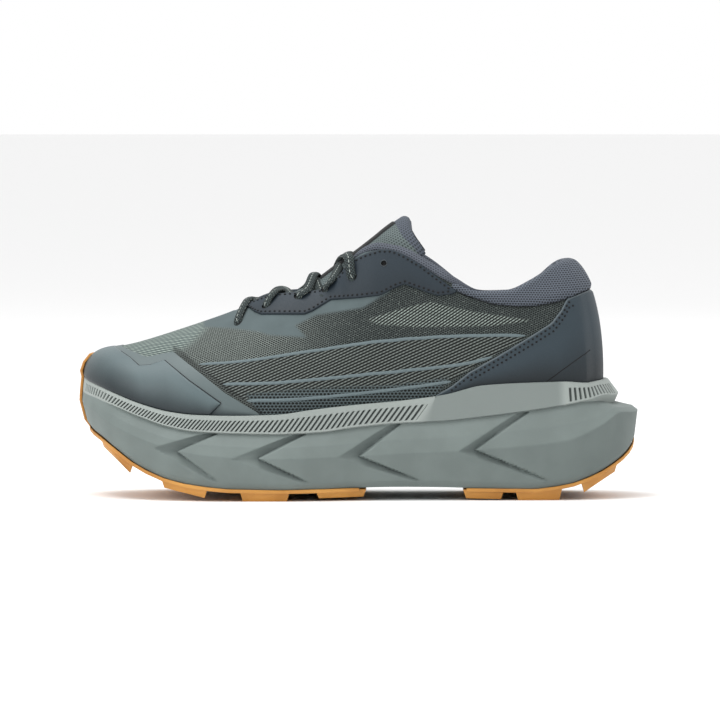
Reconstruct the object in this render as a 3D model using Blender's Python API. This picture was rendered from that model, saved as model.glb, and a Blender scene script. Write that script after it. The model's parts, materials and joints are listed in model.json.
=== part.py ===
"""Trail running shoe, left foot: hollow upper, cupped midsole, rubber outsole, tongue, insole, lace.

Metres, +Z up. The toe points to -X, the heel to +X, the outer side of the foot to -Y and the
inner side to +Y. The origin is at the middle of the footprint, on the floor.
"""
import bisect
import math
from collections import namedtuple

import bmesh
import bpy
from mathutils import Vector

# Driving sizes
LENGTH = 0.300            # heel wing to toe rubber
WIDTH = 0.114             # sole across the ball
STACK = 0.063             # rim of the midsole at the heel
HEIGHT = 0.150            # top of the tongue
# Walls, thicknesses and clearances
GAP = 0.0003              # between pieces that touch on the real shoe
GLUE_GAP = 0.0004         # midsole to outsole, measured upright
UPPER_WALL = 0.0020       # mesh and lining of the vamp and quarters
COLLAR_PAD = 0.0050       # foam added to the wall at the collar
OVERLAY = 0.0012          # toe cap, eyestays and heel counter
INSOLE = 0.0045
INSOLE_ROUND = 0.0008     # height of its slanted edges
INSOLE_UNDERCUT = 0.0005  # how far its bottom edge slants in
INSOLE_DISH = 0.0009      # how far its top edge slants in
OUTSOLE = 0.0015          # rubber skin under the foam
TOE_RUBBER = 0.0011       # the same skin where it wraps up the toe
OUTSOLE_PROUD = 0.0010    # the rubber's edge stands this far out under the foam
LUG_HEIGHT = 0.0048
LUG_TAPER = 0.0015
RIB_DEPTH = 0.0009
BAND_STEP = 0.0012        # the ribbed band stands this far out over the side wall
CHAMFER = 0.0032          # height of the bevel along the bottom edge of the foam
CREASE_DEPTH = 0.0030     # chevron grooves in the side of the foam
CREASE_WIDTH = 0.0034
CREASE_FADE = 0.35        # depth and width left at the ends of a groove, as a share
EYELET_RADIUS = 0.0019
LACE_RADIUS = 0.0017
LACE_LIFT = 0.0026        # lace over the tongue at the crossings
LACE_EDGE_RUN = 0.15      # how far towards the next eyelet a lace leaves the throat's edge
LACE_SPREAD = 0.0035      # half the distance between two laces at one eyelet, of LENGTH
# Fineness of the facets
SIDE_STEPS = 32           # stations along each side
HOLE_SIDES = 8
LACE_SIDES = 6
LACE_STEPS = 2            # between the points that a lace is laid over
RIB_PITCH_TOE = 0.0026
RIB_PITCH_MID = 0.0034
RIB_PITCH_HEEL = 0.0040
RIB_LEAN = 0.8            # run of a rib for each unit of its height

Solid = namedtuple("Solid", "colour roughness")
FOAM = Solid((0.215, 0.255, 0.245), 0.62)
GUM = Solid((0.68, 0.30, 0.05), 0.55)
MESH = Solid((0.070, 0.082, 0.080), 0.85)
FILM = Solid((0.062, 0.075, 0.095), 0.50)
PADDING = Solid((0.10, 0.10, 0.14), 0.90)
CORD = Solid((0.045, 0.060, 0.060), 0.80)

# Footprint at the widest line of the foam: y as shares of WIDTH, lateral is negative.
Plan = namedtuple("Plan", "along lateral medial")
PLAN = [
    Plan(0.00, 0.079, 0.079), Plan(0.02, -0.132, 0.254), Plan(0.05, -0.263, 0.338),
    Plan(0.10, -0.368, 0.412), Plan(0.15, -0.434, 0.456), Plan(0.20, -0.474, 0.487),
    Plan(0.27, -0.500, 0.500), Plan(0.35, -0.500, 0.474), Plan(0.43, -0.474, 0.425),
    Plan(0.50, -0.439, 0.390), Plan(0.57, -0.417, 0.377), Plan(0.65, -0.408, 0.377),
    Plan(0.72, -0.408, 0.382), Plan(0.80, -0.408, 0.390), Plan(0.87, -0.395, 0.382),
    Plan(0.93, -0.338, 0.329), Plan(0.97, -0.237, 0.232), Plan(1.00, 0.000, 0.000),
]

# Side of the sole: heights as shares of STACK, distances in from the footprint as shares of WIDTH.
# edge: foam meets rubber. ridge: widest line. band: foot of the ribbed band. rim: its top.
# floor: inside of the cup. last_in: outer face of the upper where it passes the rim.
Side = namedtuple("Side", "along edge ridge band rim floor edge_in band_in rim_in last_in")
SIDE = [
    Side(0.00, 0.603, 0.810, 0.900, 1.006, 0.762, 0.044, 0.003, 0.009, 0.023),
    Side(0.02, 0.524, 0.746, 0.862, 0.952, 0.730, 0.044, 0.009, 0.018, 0.033),
    Side(0.05, 0.437, 0.651, 0.805, 0.889, 0.667, 0.039, 0.018, 0.031, 0.051),
    Side(0.10, 0.286, 0.540, 0.710, 0.803, 0.587, 0.035, 0.031, 0.044, 0.070),
    Side(0.15, 0.189, 0.460, 0.635, 0.746, 0.532, 0.031, 0.039, 0.053, 0.083),
    Side(0.20, 0.138, 0.405, 0.595, 0.722, 0.492, 0.031, 0.044, 0.057, 0.089),
    Side(0.27, 0.106, 0.373, 0.581, 0.716, 0.468, 0.031, 0.048, 0.061, 0.093),
    Side(0.35, 0.098, 0.362, 0.573, 0.725, 0.468, 0.031, 0.048, 0.061, 0.093),
    Side(0.43, 0.103, 0.370, 0.587, 0.771, 0.484, 0.035, 0.048, 0.060, 0.090),
    Side(0.50, 0.111, 0.381, 0.630, 0.806, 0.508, 0.042, 0.044, 0.057, 0.086),
    Side(0.57, 0.114, 0.397, 0.660, 0.835, 0.532, 0.044, 0.044, 0.057, 0.084),
    Side(0.65, 0.111, 0.413, 0.678, 0.886, 0.556, 0.038, 0.044, 0.057, 0.084),
    Side(0.72, 0.102, 0.435, 0.714, 0.965, 0.571, 0.033, 0.048, 0.066, 0.092),
    Side(0.80, 0.097, 0.465, 0.762, 0.987, 0.587, 0.031, 0.053, 0.075, 0.104),
    Side(0.87, 0.133, 0.508, 0.810, 0.994, 0.595, 0.035, 0.061, 0.088, 0.118),
    Side(0.93, 0.222, 0.627, 0.854, 0.979, 0.603, 0.035, 0.075, 0.110, 0.140),
    Side(0.97, 0.325, 0.746, 0.889, 0.989, 0.603, 0.031, 0.088, 0.132, 0.163),
    Side(1.00, 0.500, 0.770, 0.917, 1.000, 0.603, 0.026, 0.091, 0.140, 0.170),
]

# Top line of the upper: the crest of the toe box, then the throat edge, then the collar.
# x as a share of LENGTH, height of HEIGHT, mid and half (opening) of WIDTH.
Top = namedtuple("Top", "along x height mid half")
TOP = [
    Top(0.00, 0.0754, 0.533, 0.079, 0.000), Top(0.02, 0.082, 0.536, 0.077, 0.000),
    Top(0.05, 0.099, 0.544, 0.070, 0.000), Top(0.10, 0.136, 0.566, 0.061, 0.000),
    Top(0.15, 0.176, 0.592, 0.048, 0.000), Top(0.20, 0.216, 0.619, 0.035, 0.000),
    Top(0.275, 0.278, 0.664, 0.022, 0.000), Top(0.30, 0.303, 0.687, 0.018, 0.061),
    Top(0.35, 0.350, 0.722, 0.013, 0.132), Top(0.43, 0.430, 0.741, 0.009, 0.154),
    Top(0.47, 0.466, 0.793, 0.004, 0.171), Top(0.50, 0.491, 0.857, 0.000, 0.189),
    Top(0.53, 0.531, 0.897, 0.000, 0.211), Top(0.57, 0.571, 0.887, 0.000, 0.237),
    Top(0.62, 0.621, 0.837, 0.000, 0.268), Top(0.67, 0.668, 0.783, 0.000, 0.289),
    Top(0.72, 0.715, 0.747, 0.000, 0.294), Top(0.78, 0.765, 0.750, 0.000, 0.281),
    Top(0.84, 0.809, 0.787, 0.000, 0.237), Top(0.90, 0.842, 0.831, 0.000, 0.162),
    Top(0.95, 0.861, 0.850, 0.000, 0.083), Top(1.00, 0.866, 0.853, 0.000, 0.000),
]

# Wall of the upper between rim and top line, as a curve with two handles, in shares of the
# distance between them: rise and flare leave the rim, reach and drop leave the top line.
Wall = namedtuple("Wall", "along rise flare reach drop")
WALL = [
    Wall(0.00, 0.37, 0.03, 0.44, 0.02), Wall(0.05, 0.33, 0.03, 0.44, 0.05),
    Wall(0.10, 0.33, 0.03, 0.43, 0.07), Wall(0.20, 0.36, 0.03, 0.40, 0.09),
    Wall(0.27, 0.36, 0.03, 0.38, 0.12), Wall(0.35, 0.38, 0.03, 0.24, 0.15),
    Wall(0.43, 0.40, 0.03, 0.20, 0.20), Wall(0.50, 0.38, 0.03, 0.12, 0.26),
    Wall(0.57, 0.36, 0.02, 0.06, 0.30), Wall(0.65, 0.36, 0.02, 0.03, 0.32),
    Wall(0.72, 0.36, 0.01, 0.03, 0.32), Wall(0.80, 0.38, 0.01, 0.06, 0.30),
    Wall(0.87, 0.42, 0.01, 0.12, 0.22), Wall(0.93, 0.46, 0.01, 0.18, 0.10),
    Wall(1.00, 0.47, 0.01, 0.21, 0.03),
]

# Outlines seen from the side: x as a share of LENGTH, height as a share of HEIGHT.
TOE_CAP = [(0.040, 0.56), (0.091, 0.502), (0.106, 0.473), (0.127, 0.479), (0.150, 0.496),
           (0.195, 0.427), (0.252, 0.346), (0.236, 0.310), (0.236, 0.20), (-0.05, 0.20), (-0.05, 0.62)]
COUNTER = [(0.871, 0.712), (0.849, 0.632), (0.812, 0.585), (0.757, 0.520), (0.700, 0.457),
           (0.662, 0.402), (0.620, 0.350), (0.620, 0.20), (1.05, 0.20), (1.05, 0.745), (0.914, 0.740)]
EYESTAY = [(0.300, 0.676), (0.325, 0.652), (0.401, 0.652), (0.416, 0.664), (0.449, 0.706),
           (0.500, 0.712), (0.536, 0.721), (0.560, 0.746), (0.579, 0.761), (0.624, 0.729),
           (0.662, 0.724), (0.676, 0.738), (0.640, 0.777), (0.609, 0.828), (0.577, 0.866),
           (0.557, 0.884), (0.537, 0.887), (0.513, 0.868), (0.484, 0.840), (0.478, 0.920),
           (0.290, 0.920)]
EYELETS = [(0.282, 0.629), (0.333, 0.683), (0.390, 0.715), (0.439, 0.742), (0.488, 0.787)]
SPARE_EYELET = (0.543, 0.838)

# Tongue, front to top: x of LENGTH, height of HEIGHT, the rest of WIDTH.
Flap = namedtuple("Flap", "x height half_width drop thick")
TONGUE = [
    Flap(0.263, 0.593, 0.114, 0.035, 0.022), Flap(0.303, 0.643, 0.149, 0.053, 0.031),
    Flap(0.347, 0.689, 0.175, 0.079, 0.039), Flap(0.397, 0.740, 0.193, 0.100, 0.044),
    Flap(0.447, 0.796, 0.180, 0.110, 0.044), Flap(0.487, 0.847, 0.178, 0.116, 0.048),
    Flap(0.527, 0.908, 0.182, 0.130, 0.055), Flap(0.561, 0.965, 0.182, 0.128, 0.064),
    Flap(0.578, 0.990, 0.180, 0.118, 0.060), Flap(0.588, 0.994, 0.160, 0.100, 0.035),
]

# Lugs: start and end along the shoe as shares of LENGTH, depth as a share of LUG_HEIGHT.
Lug = namedtuple("Lug", "start end depth")
LUGS = [
    Lug(0.040, 0.098, 0.85), Lug(0.150, 0.231, 0.80), Lug(0.290, 0.377, 1.00), Lug(0.425, 0.513, 0.60),
    Lug(0.687, 0.758, 0.75), Lug(0.780, 0.862, 1.35), Lug(0.897, 0.962, 0.95),
]
LUG_ROWS = [(0.00, 0.20), (0.28, 0.46), (0.54, 0.72), (0.80, 1.00)]
FOREFOOT_RUBBER = (0.0, 0.515)
HEEL_RUBBER = (0.655, 1.0)

# Chevron grooves in the foam: tip, end of the upper arm, end of the lower arm.
Chevron = namedtuple("Chevron", "tip upper lower")
CHEVRONS = [
    Chevron((0.155, 0.436), (0.230, 0.545), (0.243, 0.200)),
    Chevron((0.297, 0.358), (0.380, 0.525), (0.408, 0.180)),
    Chevron((0.483, 0.375), (0.560, 0.605), (0.612, 0.200)),
    Chevron((0.693, 0.427), (0.787, 0.690), (0.845, 0.220)),
]
RIBS_END = 0.605          # the ribbed band stops here and starts again behind the smooth plate
RIBS_AGAIN = 0.875
RIBS_START = 0.030        # covered by the toe rubber in front of this
TOE_WRAP_TOP = 0.55       # how far up the toe box the rubber reaches, along the wall's curve
TOE_WRAP = (0, 5)         # stations that the toe rubber covers, lateral to medial


class Curve:
    """A smooth curve through the rows of a table that never swings past them.

    Tables are read against the angle of a half circle drawn over the shoe's length, so that
    widths close to round ends at toe and heel.
    """

    def __init__(self, alongs, values):
        self.knots = [angle_of(along) for along in alongs]
        self.values = list(values)
        spans = [b - a for a, b in zip(self.knots, self.knots[1:])]
        rises = [(b - a) / s for a, b, s in zip(self.values, self.values[1:], spans)]
        self.slopes = [rises[0]]
        for before, after, left, right in zip(rises, rises[1:], spans, spans[1:]):
            if before * after <= 0.0:
                self.slopes.append(0.0)
            else:
                first, second = 2 * right + left, right + 2 * left
                self.slopes.append((first + second) / (first / before + second / after))
        self.slopes.append(rises[-1])

    def __call__(self, along):
        angle = angle_of(along)
        last = len(self.knots) - 2
        index = min(max(bisect.bisect_right(self.knots, angle) - 1, 0), last)
        span = self.knots[index + 1] - self.knots[index]
        t = (angle - self.knots[index]) / span
        return ((1 + 2 * t) * (1 - t) ** 2 * self.values[index]
                + t * (1 - t) ** 2 * span * self.slopes[index]
                + t * t * (3 - 2 * t) * self.values[index + 1]
                + t * t * (t - 1) * span * self.slopes[index + 1])


def angle_of(along):
    return math.acos(max(-1.0, min(1.0, 1.0 - 2.0 * along)))


def curves(rows):
    """One curve for each named column of a table."""
    alongs = [row.along for row in rows]
    return {name: Curve(alongs, [getattr(row, name) for row in rows]) for name in rows[0]._fields[1:]}


PLAN_AT, SIDE_AT, TOP_AT, WALL_AT = curves(PLAN), curves(SIDE), curves(TOP), curves(WALL)
STATIONS = [(1.0 - math.cos(math.pi * step / SIDE_STEPS)) / 2.0 for step in range(SIDE_STEPS + 1)]
LATERAL, MEDIAL = -1, 1
SOLE_LENGTH = LENGTH - GAP - TOE_RUBBER
TOE_X = LENGTH / 2 - SOLE_LENGTH


def smoothstep(low, high, value):
    t = max(0.0, min(1.0, (value - low) / (high - low)))
    return t * t * (3.0 - 2.0 * t)


def shoe_x(along):
    return TOE_X + SOLE_LENGTH * along


def share_x(share):
    return LENGTH * (share - 0.5)


def ring(stations):
    """Stations once round the shoe: toe, lateral side, heel, medial side."""
    lateral = [(along, LATERAL) for along in stations]
    medial = [(along, MEDIAL) for along in stations[-2:0:-1]]
    return lateral + medial


def footprint(along, side):
    name = "lateral" if side == LATERAL else "medial"
    return Vector((shoe_x(along), WIDTH * PLAN_AT[name](along), 0.0))


def outward(along, side):
    """Level direction that points out of the footprint at a station."""
    angle = angle_of(along)
    step = 0.02

    def at(turn):
        turned_side = side if 0.0 <= turn <= math.pi else -side
        return footprint((1.0 - math.cos(turn)) / 2.0, turned_side)

    tangent = at(angle + step) - at(angle - step)
    normal = Vector((tangent.y, -tangent.x, 0.0)) * (-side)
    return normal.normalized()


def sole_point(along, side, inset, height):
    point = footprint(along, side) - outward(along, side) * (WIDTH * inset)
    point.z = height
    return point


def edge_point(along, side, lift=0.0, proud=0.0):
    """Bottom edge of the foam."""
    inset = SIDE_AT["edge_in"](along) - proud / WIDTH
    return sole_point(along, side, inset, STACK * SIDE_AT["edge"](along) + lift)


def chamfer_point(along, side):
    inset = SIDE_AT["edge_in"](along) * 0.5
    return sole_point(along, side, inset, STACK * SIDE_AT["edge"](along) + CHAMFER)


def ridge_point(along, side):
    return sole_point(along, side, 0.0, STACK * SIDE_AT["ridge"](along))


def lip_point(along, side):
    """Upper edge of the wing at the heel; elsewhere a line on the facet over the ridge."""
    wing = smoothstep(0.86, 0.97, along)
    ridge, band = STACK * SIDE_AT["ridge"](along), STACK * SIDE_AT["band"](along)
    height = ridge + (band - ridge) * (0.45 - 0.19 * wing)
    inset = SIDE_AT["band_in"](along) * (0.33 - 0.13 * wing)
    return sole_point(along, side, inset, height)


def step_depth(along):
    return BAND_STEP * smoothstep(0.02, 0.08, along)


def under_band_point(along, side):
    """Side wall just under the band, set back by the band's step."""
    wing = smoothstep(0.90, 1.0, along)
    inset = SIDE_AT["band_in"](along) + (step_depth(along) + 0.0008 * wing) / WIDTH
    drop = 0.0007 + 0.0040 * wing
    return sole_point(along, side, inset, STACK * SIDE_AT["band"](along) - drop)


def band_point(along, side, cut=0.0):
    return sole_point(along, side, SIDE_AT["band_in"](along) + cut / WIDTH, STACK * SIDE_AT["band"](along))


def rim_point(along, side, cut=0.0):
    return sole_point(along, side, SIDE_AT["rim_in"](along) + cut / WIDTH, STACK * SIDE_AT["rim"](along))


def last_point(along, side, share, proud=0.0):
    """Outer face of the upper inside the cup: share 0 at the floor, 1 at the rim."""
    tuck = (0.022 + 0.006 * smoothstep(0.8, 1.0, along)) * (1.0 - share) ** 1.5
    inset = SIDE_AT["last_in"](along) + tuck - proud / WIDTH
    floor = STACK * SIDE_AT["floor"](along)
    height = floor + GAP + (STACK * SIDE_AT["rim"](along) - floor - GAP) * share
    return sole_point(along, side, inset, height)


def top_point(along, side):
    opening = TOP_AT["half"](along) if along > 0.275 else 0.0
    return Vector((share_x(TOP_AT["x"](along)), WIDTH * (TOP_AT["mid"](along) + side * opening),
                   HEIGHT * TOP_AT["height"](along)))


def wall_point(along, side, w):
    """Outer face of the upper over the rim: w runs from the rim, 0, to the top line, 1."""
    low, high = last_point(along, side, 1.0), top_point(along, side)
    reach = (high - low).length
    out = outward(along, side)
    first = low + Vector((0, 0, reach * WALL_AT["rise"](along))) + out * (reach * WALL_AT["flare"](along))
    second = high - Vector((0, 0, reach * WALL_AT["drop"](along))) + out * (reach * WALL_AT["reach"](along))
    return (low * (1 - w) ** 3 + first * (3 * w * (1 - w) ** 2)
            + second * (3 * w * w * (1 - w)) + high * w ** 3)


CUP_ROWS = [0.0, 0.5]
WALL_ROWS = [0.0, 0.12, 0.24, 0.37, 0.5, 0.63, 0.75, 0.86, 0.94, 1.0]
ABOVE_RIM = [0.015] + WALL_ROWS[1:]   # the overlays start just over the rim


class Skin:
    """A sheet of triangles with a direction out of it at each point.

    Every quad is split the same way, so that layers over each other keep their distance.
    """

    def __init__(self, columns, closed):
        """columns holds one list of points for each station; equal points are one point."""
        self.points, self.faces = [], []
        known = {}
        numbers = []
        for column in columns:
            line = []
            for point in column:
                key = tuple(round(value, 7) for value in point)
                if key not in known:
                    known[key] = len(self.points)
                    self.points.append(point)
                line.append(known[key])
            numbers.append(line)
        for here, there in zip(numbers, numbers[1:] + numbers[:1] if closed else numbers[1:]):
            for row in range(len(here) - 1):
                for face in ((here[row], there[row], there[row + 1]),
                             (here[row], there[row + 1], here[row + 1])):
                    if len(set(face)) == 3:
                        self.faces.append(face)
        self.normals = self.directions()

    def directions(self):
        normals_at = [[] for _ in self.points]
        for face in self.faces:
            a, b, c = (self.points[corner] for corner in face)
            normal = (b - a).cross(c - a).normalized()
            for corner in face:
                normals_at[corner].append(normal)
        normals = []
        for faces in normals_at:
            mean = sum(faces, Vector()).normalized()
            lean = sum(mean.dot(face) for face in faces) / len(faces)
            normals.append(mean / max(lean, 0.7))
        return normals

    def shell(self, name, low, high, finish):
        """A closed solid between two distances out from the sheet. low may be a function."""
        bm = bmesh.new()
        inner_at = low if callable(low) else (lambda point: low)
        inner = [bm.verts.new(p + n * inner_at(p)) for p, n in zip(self.points, self.normals)]
        outer = [bm.verts.new(p + n * high) for p, n in zip(self.points, self.normals)]
        edges = set()
        for face in self.faces:
            bm.faces.new([outer[corner] for corner in face])
            bm.faces.new([inner[corner] for corner in reversed(face)])
            edges.update(zip(face, face[1:] + face[:1]))
        for a, b in sorted(edges):
            if (b, a) not in edges:
                bm.faces.new((inner[a], inner[b], outer[b], outer[a]))
        return make_object(name, bm, finish)


def upper_column(along, side, rows=None, cup=True):
    column = [last_point(along, side, share) for share in CUP_ROWS] if cup else []
    return column + [wall_point(along, side, w) for w in (rows or WALL_ROWS)]


def make_material(name, finish):
    material = bpy.data.materials.new(name)
    material.use_nodes = True
    shader = material.node_tree.nodes["Principled BSDF"]
    shader.inputs["Base Color"].default_value = (*finish.colour, 1.0)
    shader.inputs["Roughness"].default_value = finish.roughness
    shader.inputs["Metallic"].default_value = 0.0
    return material


def make_object(name, bm, finish):
    bmesh.ops.remove_doubles(bm, verts=bm.verts, dist=1e-6)
    bmesh.ops.recalc_face_normals(bm, faces=bm.faces)
    mesh = bpy.data.meshes.new(name)
    bm.to_mesh(mesh)
    bm.free()
    obj = bpy.data.objects.new(name, mesh)
    bpy.context.scene.collection.objects.link(obj)
    if finish is None:
        obj.hide_render = True
        obj.display_type = "WIRE"
    else:
        mesh.materials.append(make_material(name, finish))
        mesh.shade_smooth()
        mesh.set_sharp_from_angle(angle=math.radians(35))
    return obj


def boolean(obj, tool, operation):
    modifier = obj.modifiers.new(tool.name, "BOOLEAN")
    modifier.operation = operation
    modifier.solver = "EXACT"
    modifier.object = tool


def prism(name, outline, start, end):
    """A cutter: an outline of shares seen from the side, drawn across from y start to y end."""
    bm = bmesh.new()
    near = [bm.verts.new((share_x(x), start, HEIGHT * z)) for x, z in outline]
    face = bm.faces.new(near)
    far = bmesh.ops.extrude_face_region(bm, geom=[face])["geom"]
    moved = [item for item in far if isinstance(item, bmesh.types.BMVert)]
    bmesh.ops.translate(bm, verts=moved, vec=(0.0, end - start, 0.0))
    return make_object(name, bm, None)


def zip_rings(bm, first, first_at, second, second_at):
    """Triangles between two closed rings with different numbers of points.

    Each ring comes with the place of its points along the ring, from 0 up to below 1.
    """
    first_at, second_at = first_at + [1.0, 9.0], second_at + [1.0, 9.0]
    a = b = 0
    while a < len(first) or b < len(second):
        here_a, here_b = first[a % len(first)], second[b % len(second)]
        if first_at[a] + first_at[a + 1] <= second_at[b] + second_at[b + 1]:
            a += 1
            bm.faces.new((here_a, first[a % len(first)], here_b))
        else:
            b += 1
            bm.faces.new((here_a, second[b % len(second)], here_b))


def strip(bm, first, second):
    """Quads between two closed rings with equal numbers of points."""
    for i in range(len(first)):
        j = (i + 1) % len(first)
        bm.faces.new((first[i], first[j], second[j], second[i]))


def ladder(bm, loop):
    """Closes a ring made by ring() with faces straight across the shoe."""
    half = len(loop) // 2
    lateral = loop[:half + 1]
    medial = [loop[0]] + loop[:half - 1:-1]
    bm.faces.new((lateral[0], lateral[1], medial[1]))
    for i in range(1, half - 1):
        bm.faces.new((lateral[i], lateral[i + 1], medial[i + 1], medial[i]))
    bm.faces.new((lateral[half - 1], lateral[half], medial[half - 1]))


def ring_places(stations):
    """Places along a ring from 0 to 1, by the turn of each station."""
    places = [angle_of(along) / (2 * math.pi) for along in stations]
    return places + [1.0 - place for place in places[-2:0:-1]]


def rib_stations():
    """Stations of the ribbed band's points, and which of them lie in a groove."""
    alongs, cuts = [0.0], [0.0]
    for place in (0.008, RIBS_START * 0.6):
        alongs.append(place)
        cuts.append(0.0)
    for start, end, pitch_start, pitch_end in (
            (RIBS_START, RIBS_END, RIB_PITCH_TOE, RIB_PITCH_MID),
            (RIBS_AGAIN, 0.999, RIB_PITCH_HEEL, RIB_PITCH_HEEL)):
        if start == RIBS_AGAIN:
            plain = 7
            for i in range(1, plain):
                alongs.append(RIBS_END + (RIBS_AGAIN - RIBS_END) * i / plain)
                cuts.append(0.0)
        along = start
        groove = False
        while along < end:
            alongs.append(along)
            cuts.append(RIB_DEPTH * (0.4 + 0.6 * smoothstep(0.05, 0.15, along)) if groove else 0.0)
            pitch = pitch_start + (pitch_end - pitch_start) * smoothstep(start, start + 0.25, along)
            along += pitch / 2 / band_speed(along)
            groove = not groove
    alongs.append(1.0)
    cuts.append(0.0)
    return alongs, cuts


def band_speed(along):
    """Length of band for each unit along the shoe, on the side where it is longer."""
    step = 0.002
    start = min(along, 1.0 - step)
    return max((band_point(start + step, side) - band_point(start, side)).length / step
               for side in (LATERAL, MEDIAL))


def slanted(along):
    """Where a rib that starts at a station reaches the rim: further back, except at the ends."""
    lean = smoothstep(0.05, 0.16, along) * (1.0 - smoothstep(0.60, 0.66, along))
    rise = STACK * (SIDE_AT["rim"](along) - SIDE_AT["band"](along))
    return along + lean * RIB_LEAN * rise / band_speed(along)


def build_midsole():
    """Foam cup: chamfered edge, ridge and wing, ribbed band, and the cup that holds the upper."""
    bm = bmesh.new()
    stations = ring(STATIONS)

    def loop(maker, *extra):
        return [bm.verts.new(maker(along, side, *extra)) for along, side in stations]

    rings = [loop(maker) for maker in (edge_point, chamfer_point, ridge_point, lip_point, under_band_point)]
    for low, high in zip(rings, rings[1:]):
        strip(bm, low, high)
    alongs, cuts = rib_stations()
    fine = ring(alongs)
    fine_cuts = cuts + cuts[-2:0:-1]
    foot = [bm.verts.new(band_point(along, side, cut)) for (along, side), cut in zip(fine, fine_cuts)]
    head = [bm.verts.new(rim_point(slanted(along), side, cut)) for (along, side), cut in zip(fine, fine_cuts)]
    strip(bm, foot, head)
    coarse_places = ring_places(STATIONS)
    head_places = ring_places([slanted(along) for along in alongs])
    zip_rings(bm, rings[-1], coarse_places, foot, ring_places(alongs))
    inner = [loop(last_point, share, GAP) for share in (1.0, 0.5, 0.0)]
    zip_rings(bm, head, head_places, inner[0], coarse_places)
    for high, low in zip(inner, inner[1:]):
        strip(bm, high, low)
    for vert in inner[-1]:
        vert.co.z -= GAP
    ladder(bm, inner[-1])
    ladder(bm, rings[0])
    midsole = make_object("midsole", bm, FOAM)
    boolean(midsole, chevron_cutter(), "DIFFERENCE")
    return midsole


def side_point(x, height, side):
    """A point on the side wall of the foam, found from its x and height."""
    along = (x - TOE_X) / SOLE_LENGTH
    levels = [maker(along, side) for maker in (chamfer_point, ridge_point, lip_point, under_band_point)]
    for low, high in zip(levels, levels[1:]):
        if height <= high.z or high is levels[-1]:
            share = max(0.0, min(1.0, (height - low.z) / (high.z - low.z)))
            return Vector((x, low.y + (high.y - low.y) * share, height))


def chevron_cutter():
    """Bent wedges that cut the chevron grooves into both sides of the foam."""
    bm = bmesh.new()
    for chevron in CHEVRONS:
        for side in (LATERAL, MEDIAL):
            spine = [side_point(share_x(x), STACK * z, side)
                     for x, z in (chevron.upper, chevron.tip, chevron.lower)]
            half = CREASE_WIDTH / 2
            arms = [spine[0] - spine[1], spine[2] - spine[1]]
            for arm in arms:
                arm.y = 0.0
                arm.normalize()
            acrosses = [Vector((arms[0].z, 0.0, -arms[0].x)) * half,
                        Vector((half / abs(arms[0].z), 0.0, 0.0)),
                        Vector((-arms[1].z, 0.0, arms[1].x)) * half]
            rings = []
            for point, across, share in zip(spine, acrosses, (CREASE_FADE, 1.0, CREASE_FADE)):
                depth = Vector((0.0, side * CREASE_DEPTH * share, 0.0))
                rings.append([bm.verts.new(point + across * (3 * share) + depth * 2),
                              bm.verts.new(point - across * (3 * share) + depth * 2),
                              bm.verts.new(point - depth)])
            for near, far in zip(rings, rings[1:]):
                for i in range(3):
                    j = (i + 1) % 3
                    bm.faces.new((near[i], far[i], far[j], near[j]))
            bm.faces.new(rings[0][::-1])
            bm.faces.new(rings[-1])
    return make_object("chevrons", bm, None)


def collar_wall(point):
    """Distance from the outer face of the upper in to its inner face, thicker at the collar."""
    share = point.x / LENGTH + 0.5
    seam = HEIGHT * (0.70 + 0.04 * smoothstep(0.80, 0.92, share))
    pad = smoothstep(seam - 0.006, seam + 0.006, point.z) * smoothstep(0.57, 0.65, share)
    return -(UPPER_WALL + COLLAR_PAD * pad)


def build_upper():
    """Hollow upper with its real wall, open at the collar, the throat and underneath."""
    skin = Skin([upper_column(along, side) for along, side in ring(STATIONS)], closed=True)
    upper = skin.shell("upper", collar_wall, 0.0, MESH)
    boolean(upper, eyelet_cutter(), "DIFFERENCE")
    return upper


def build_overlays():
    """Toe cap, heel counter and eyestays, each cut out of a layer laid over the upper."""
    reach = WIDTH
    whole = [upper_column(along, side, ABOVE_RIM, cup=False) for along, side in ring(STATIONS)]
    split = SIDE_STEPS * 5 // 12
    back = SIDE_STEPS * 7 // 12
    toe = Skin(whole[-split:] + whole[:split + 1], closed=False)
    cap = toe.shell("toe_cap", GAP, GAP + OVERLAY, FILM)
    boolean(cap, prism("toe_cap_outline", TOE_CAP, -reach, reach), "INTERSECT")
    heel = Skin(whole[back:-back], closed=False)
    counter = heel.shell("heel_counter", GAP, GAP + OVERLAY, FILM)
    boolean(counter, prism("counter_outline", COUNTER, -reach, reach), "INTERSECT")
    first, last = SIDE_STEPS // 3, SIDE_STEPS * 2 // 3
    for name, columns in (("eyestay_lateral", whole[first:last]), ("eyestay_medial", whole[-last:-first])):
        stay = Skin(columns, closed=False).shell(name, GAP, GAP + OVERLAY, FILM)
        boolean(stay, prism(name + "_outline", EYESTAY, -reach, reach), "INTERSECT")
        boolean(stay, eyelet_cutter(), "DIFFERENCE")


def find_on_wall(x_share, z_share, side):
    """The place on the upper's wall with a given x and height, and the direction out of it."""
    target = Vector((share_x(x_share), 0.0, HEIGHT * z_share))
    best, best_along, best_w = 1.0, x_share, 0.8
    spread_along, spread_w = 0.05, 0.45
    for _ in range(4):
        centre_along, centre_w = best_along, best_w
        for i in range(-6, 7):
            for j in range(-6, 7):
                along = centre_along + spread_along * i / 6
                w = min(1.0, max(0.0, centre_w + spread_w * j / 6))
                point = wall_point(along, side, w)
                miss = math.hypot(point.x - target.x, point.z - target.z)
                if miss < best:
                    best, best_along, best_w = miss, along, w
        spread_along, spread_w = spread_along / 4, spread_w / 4
    point = wall_point(best_along, side, best_w)
    along_edge = wall_point(best_along + 0.005, side, best_w) - wall_point(best_along - 0.005, side, best_w)
    upward = wall_point(best_along, side, min(1.0, best_w + 0.01)) - wall_point(best_along, side, best_w - 0.01)
    return point, (along_edge.cross(upward) * -side).normalized()


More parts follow.
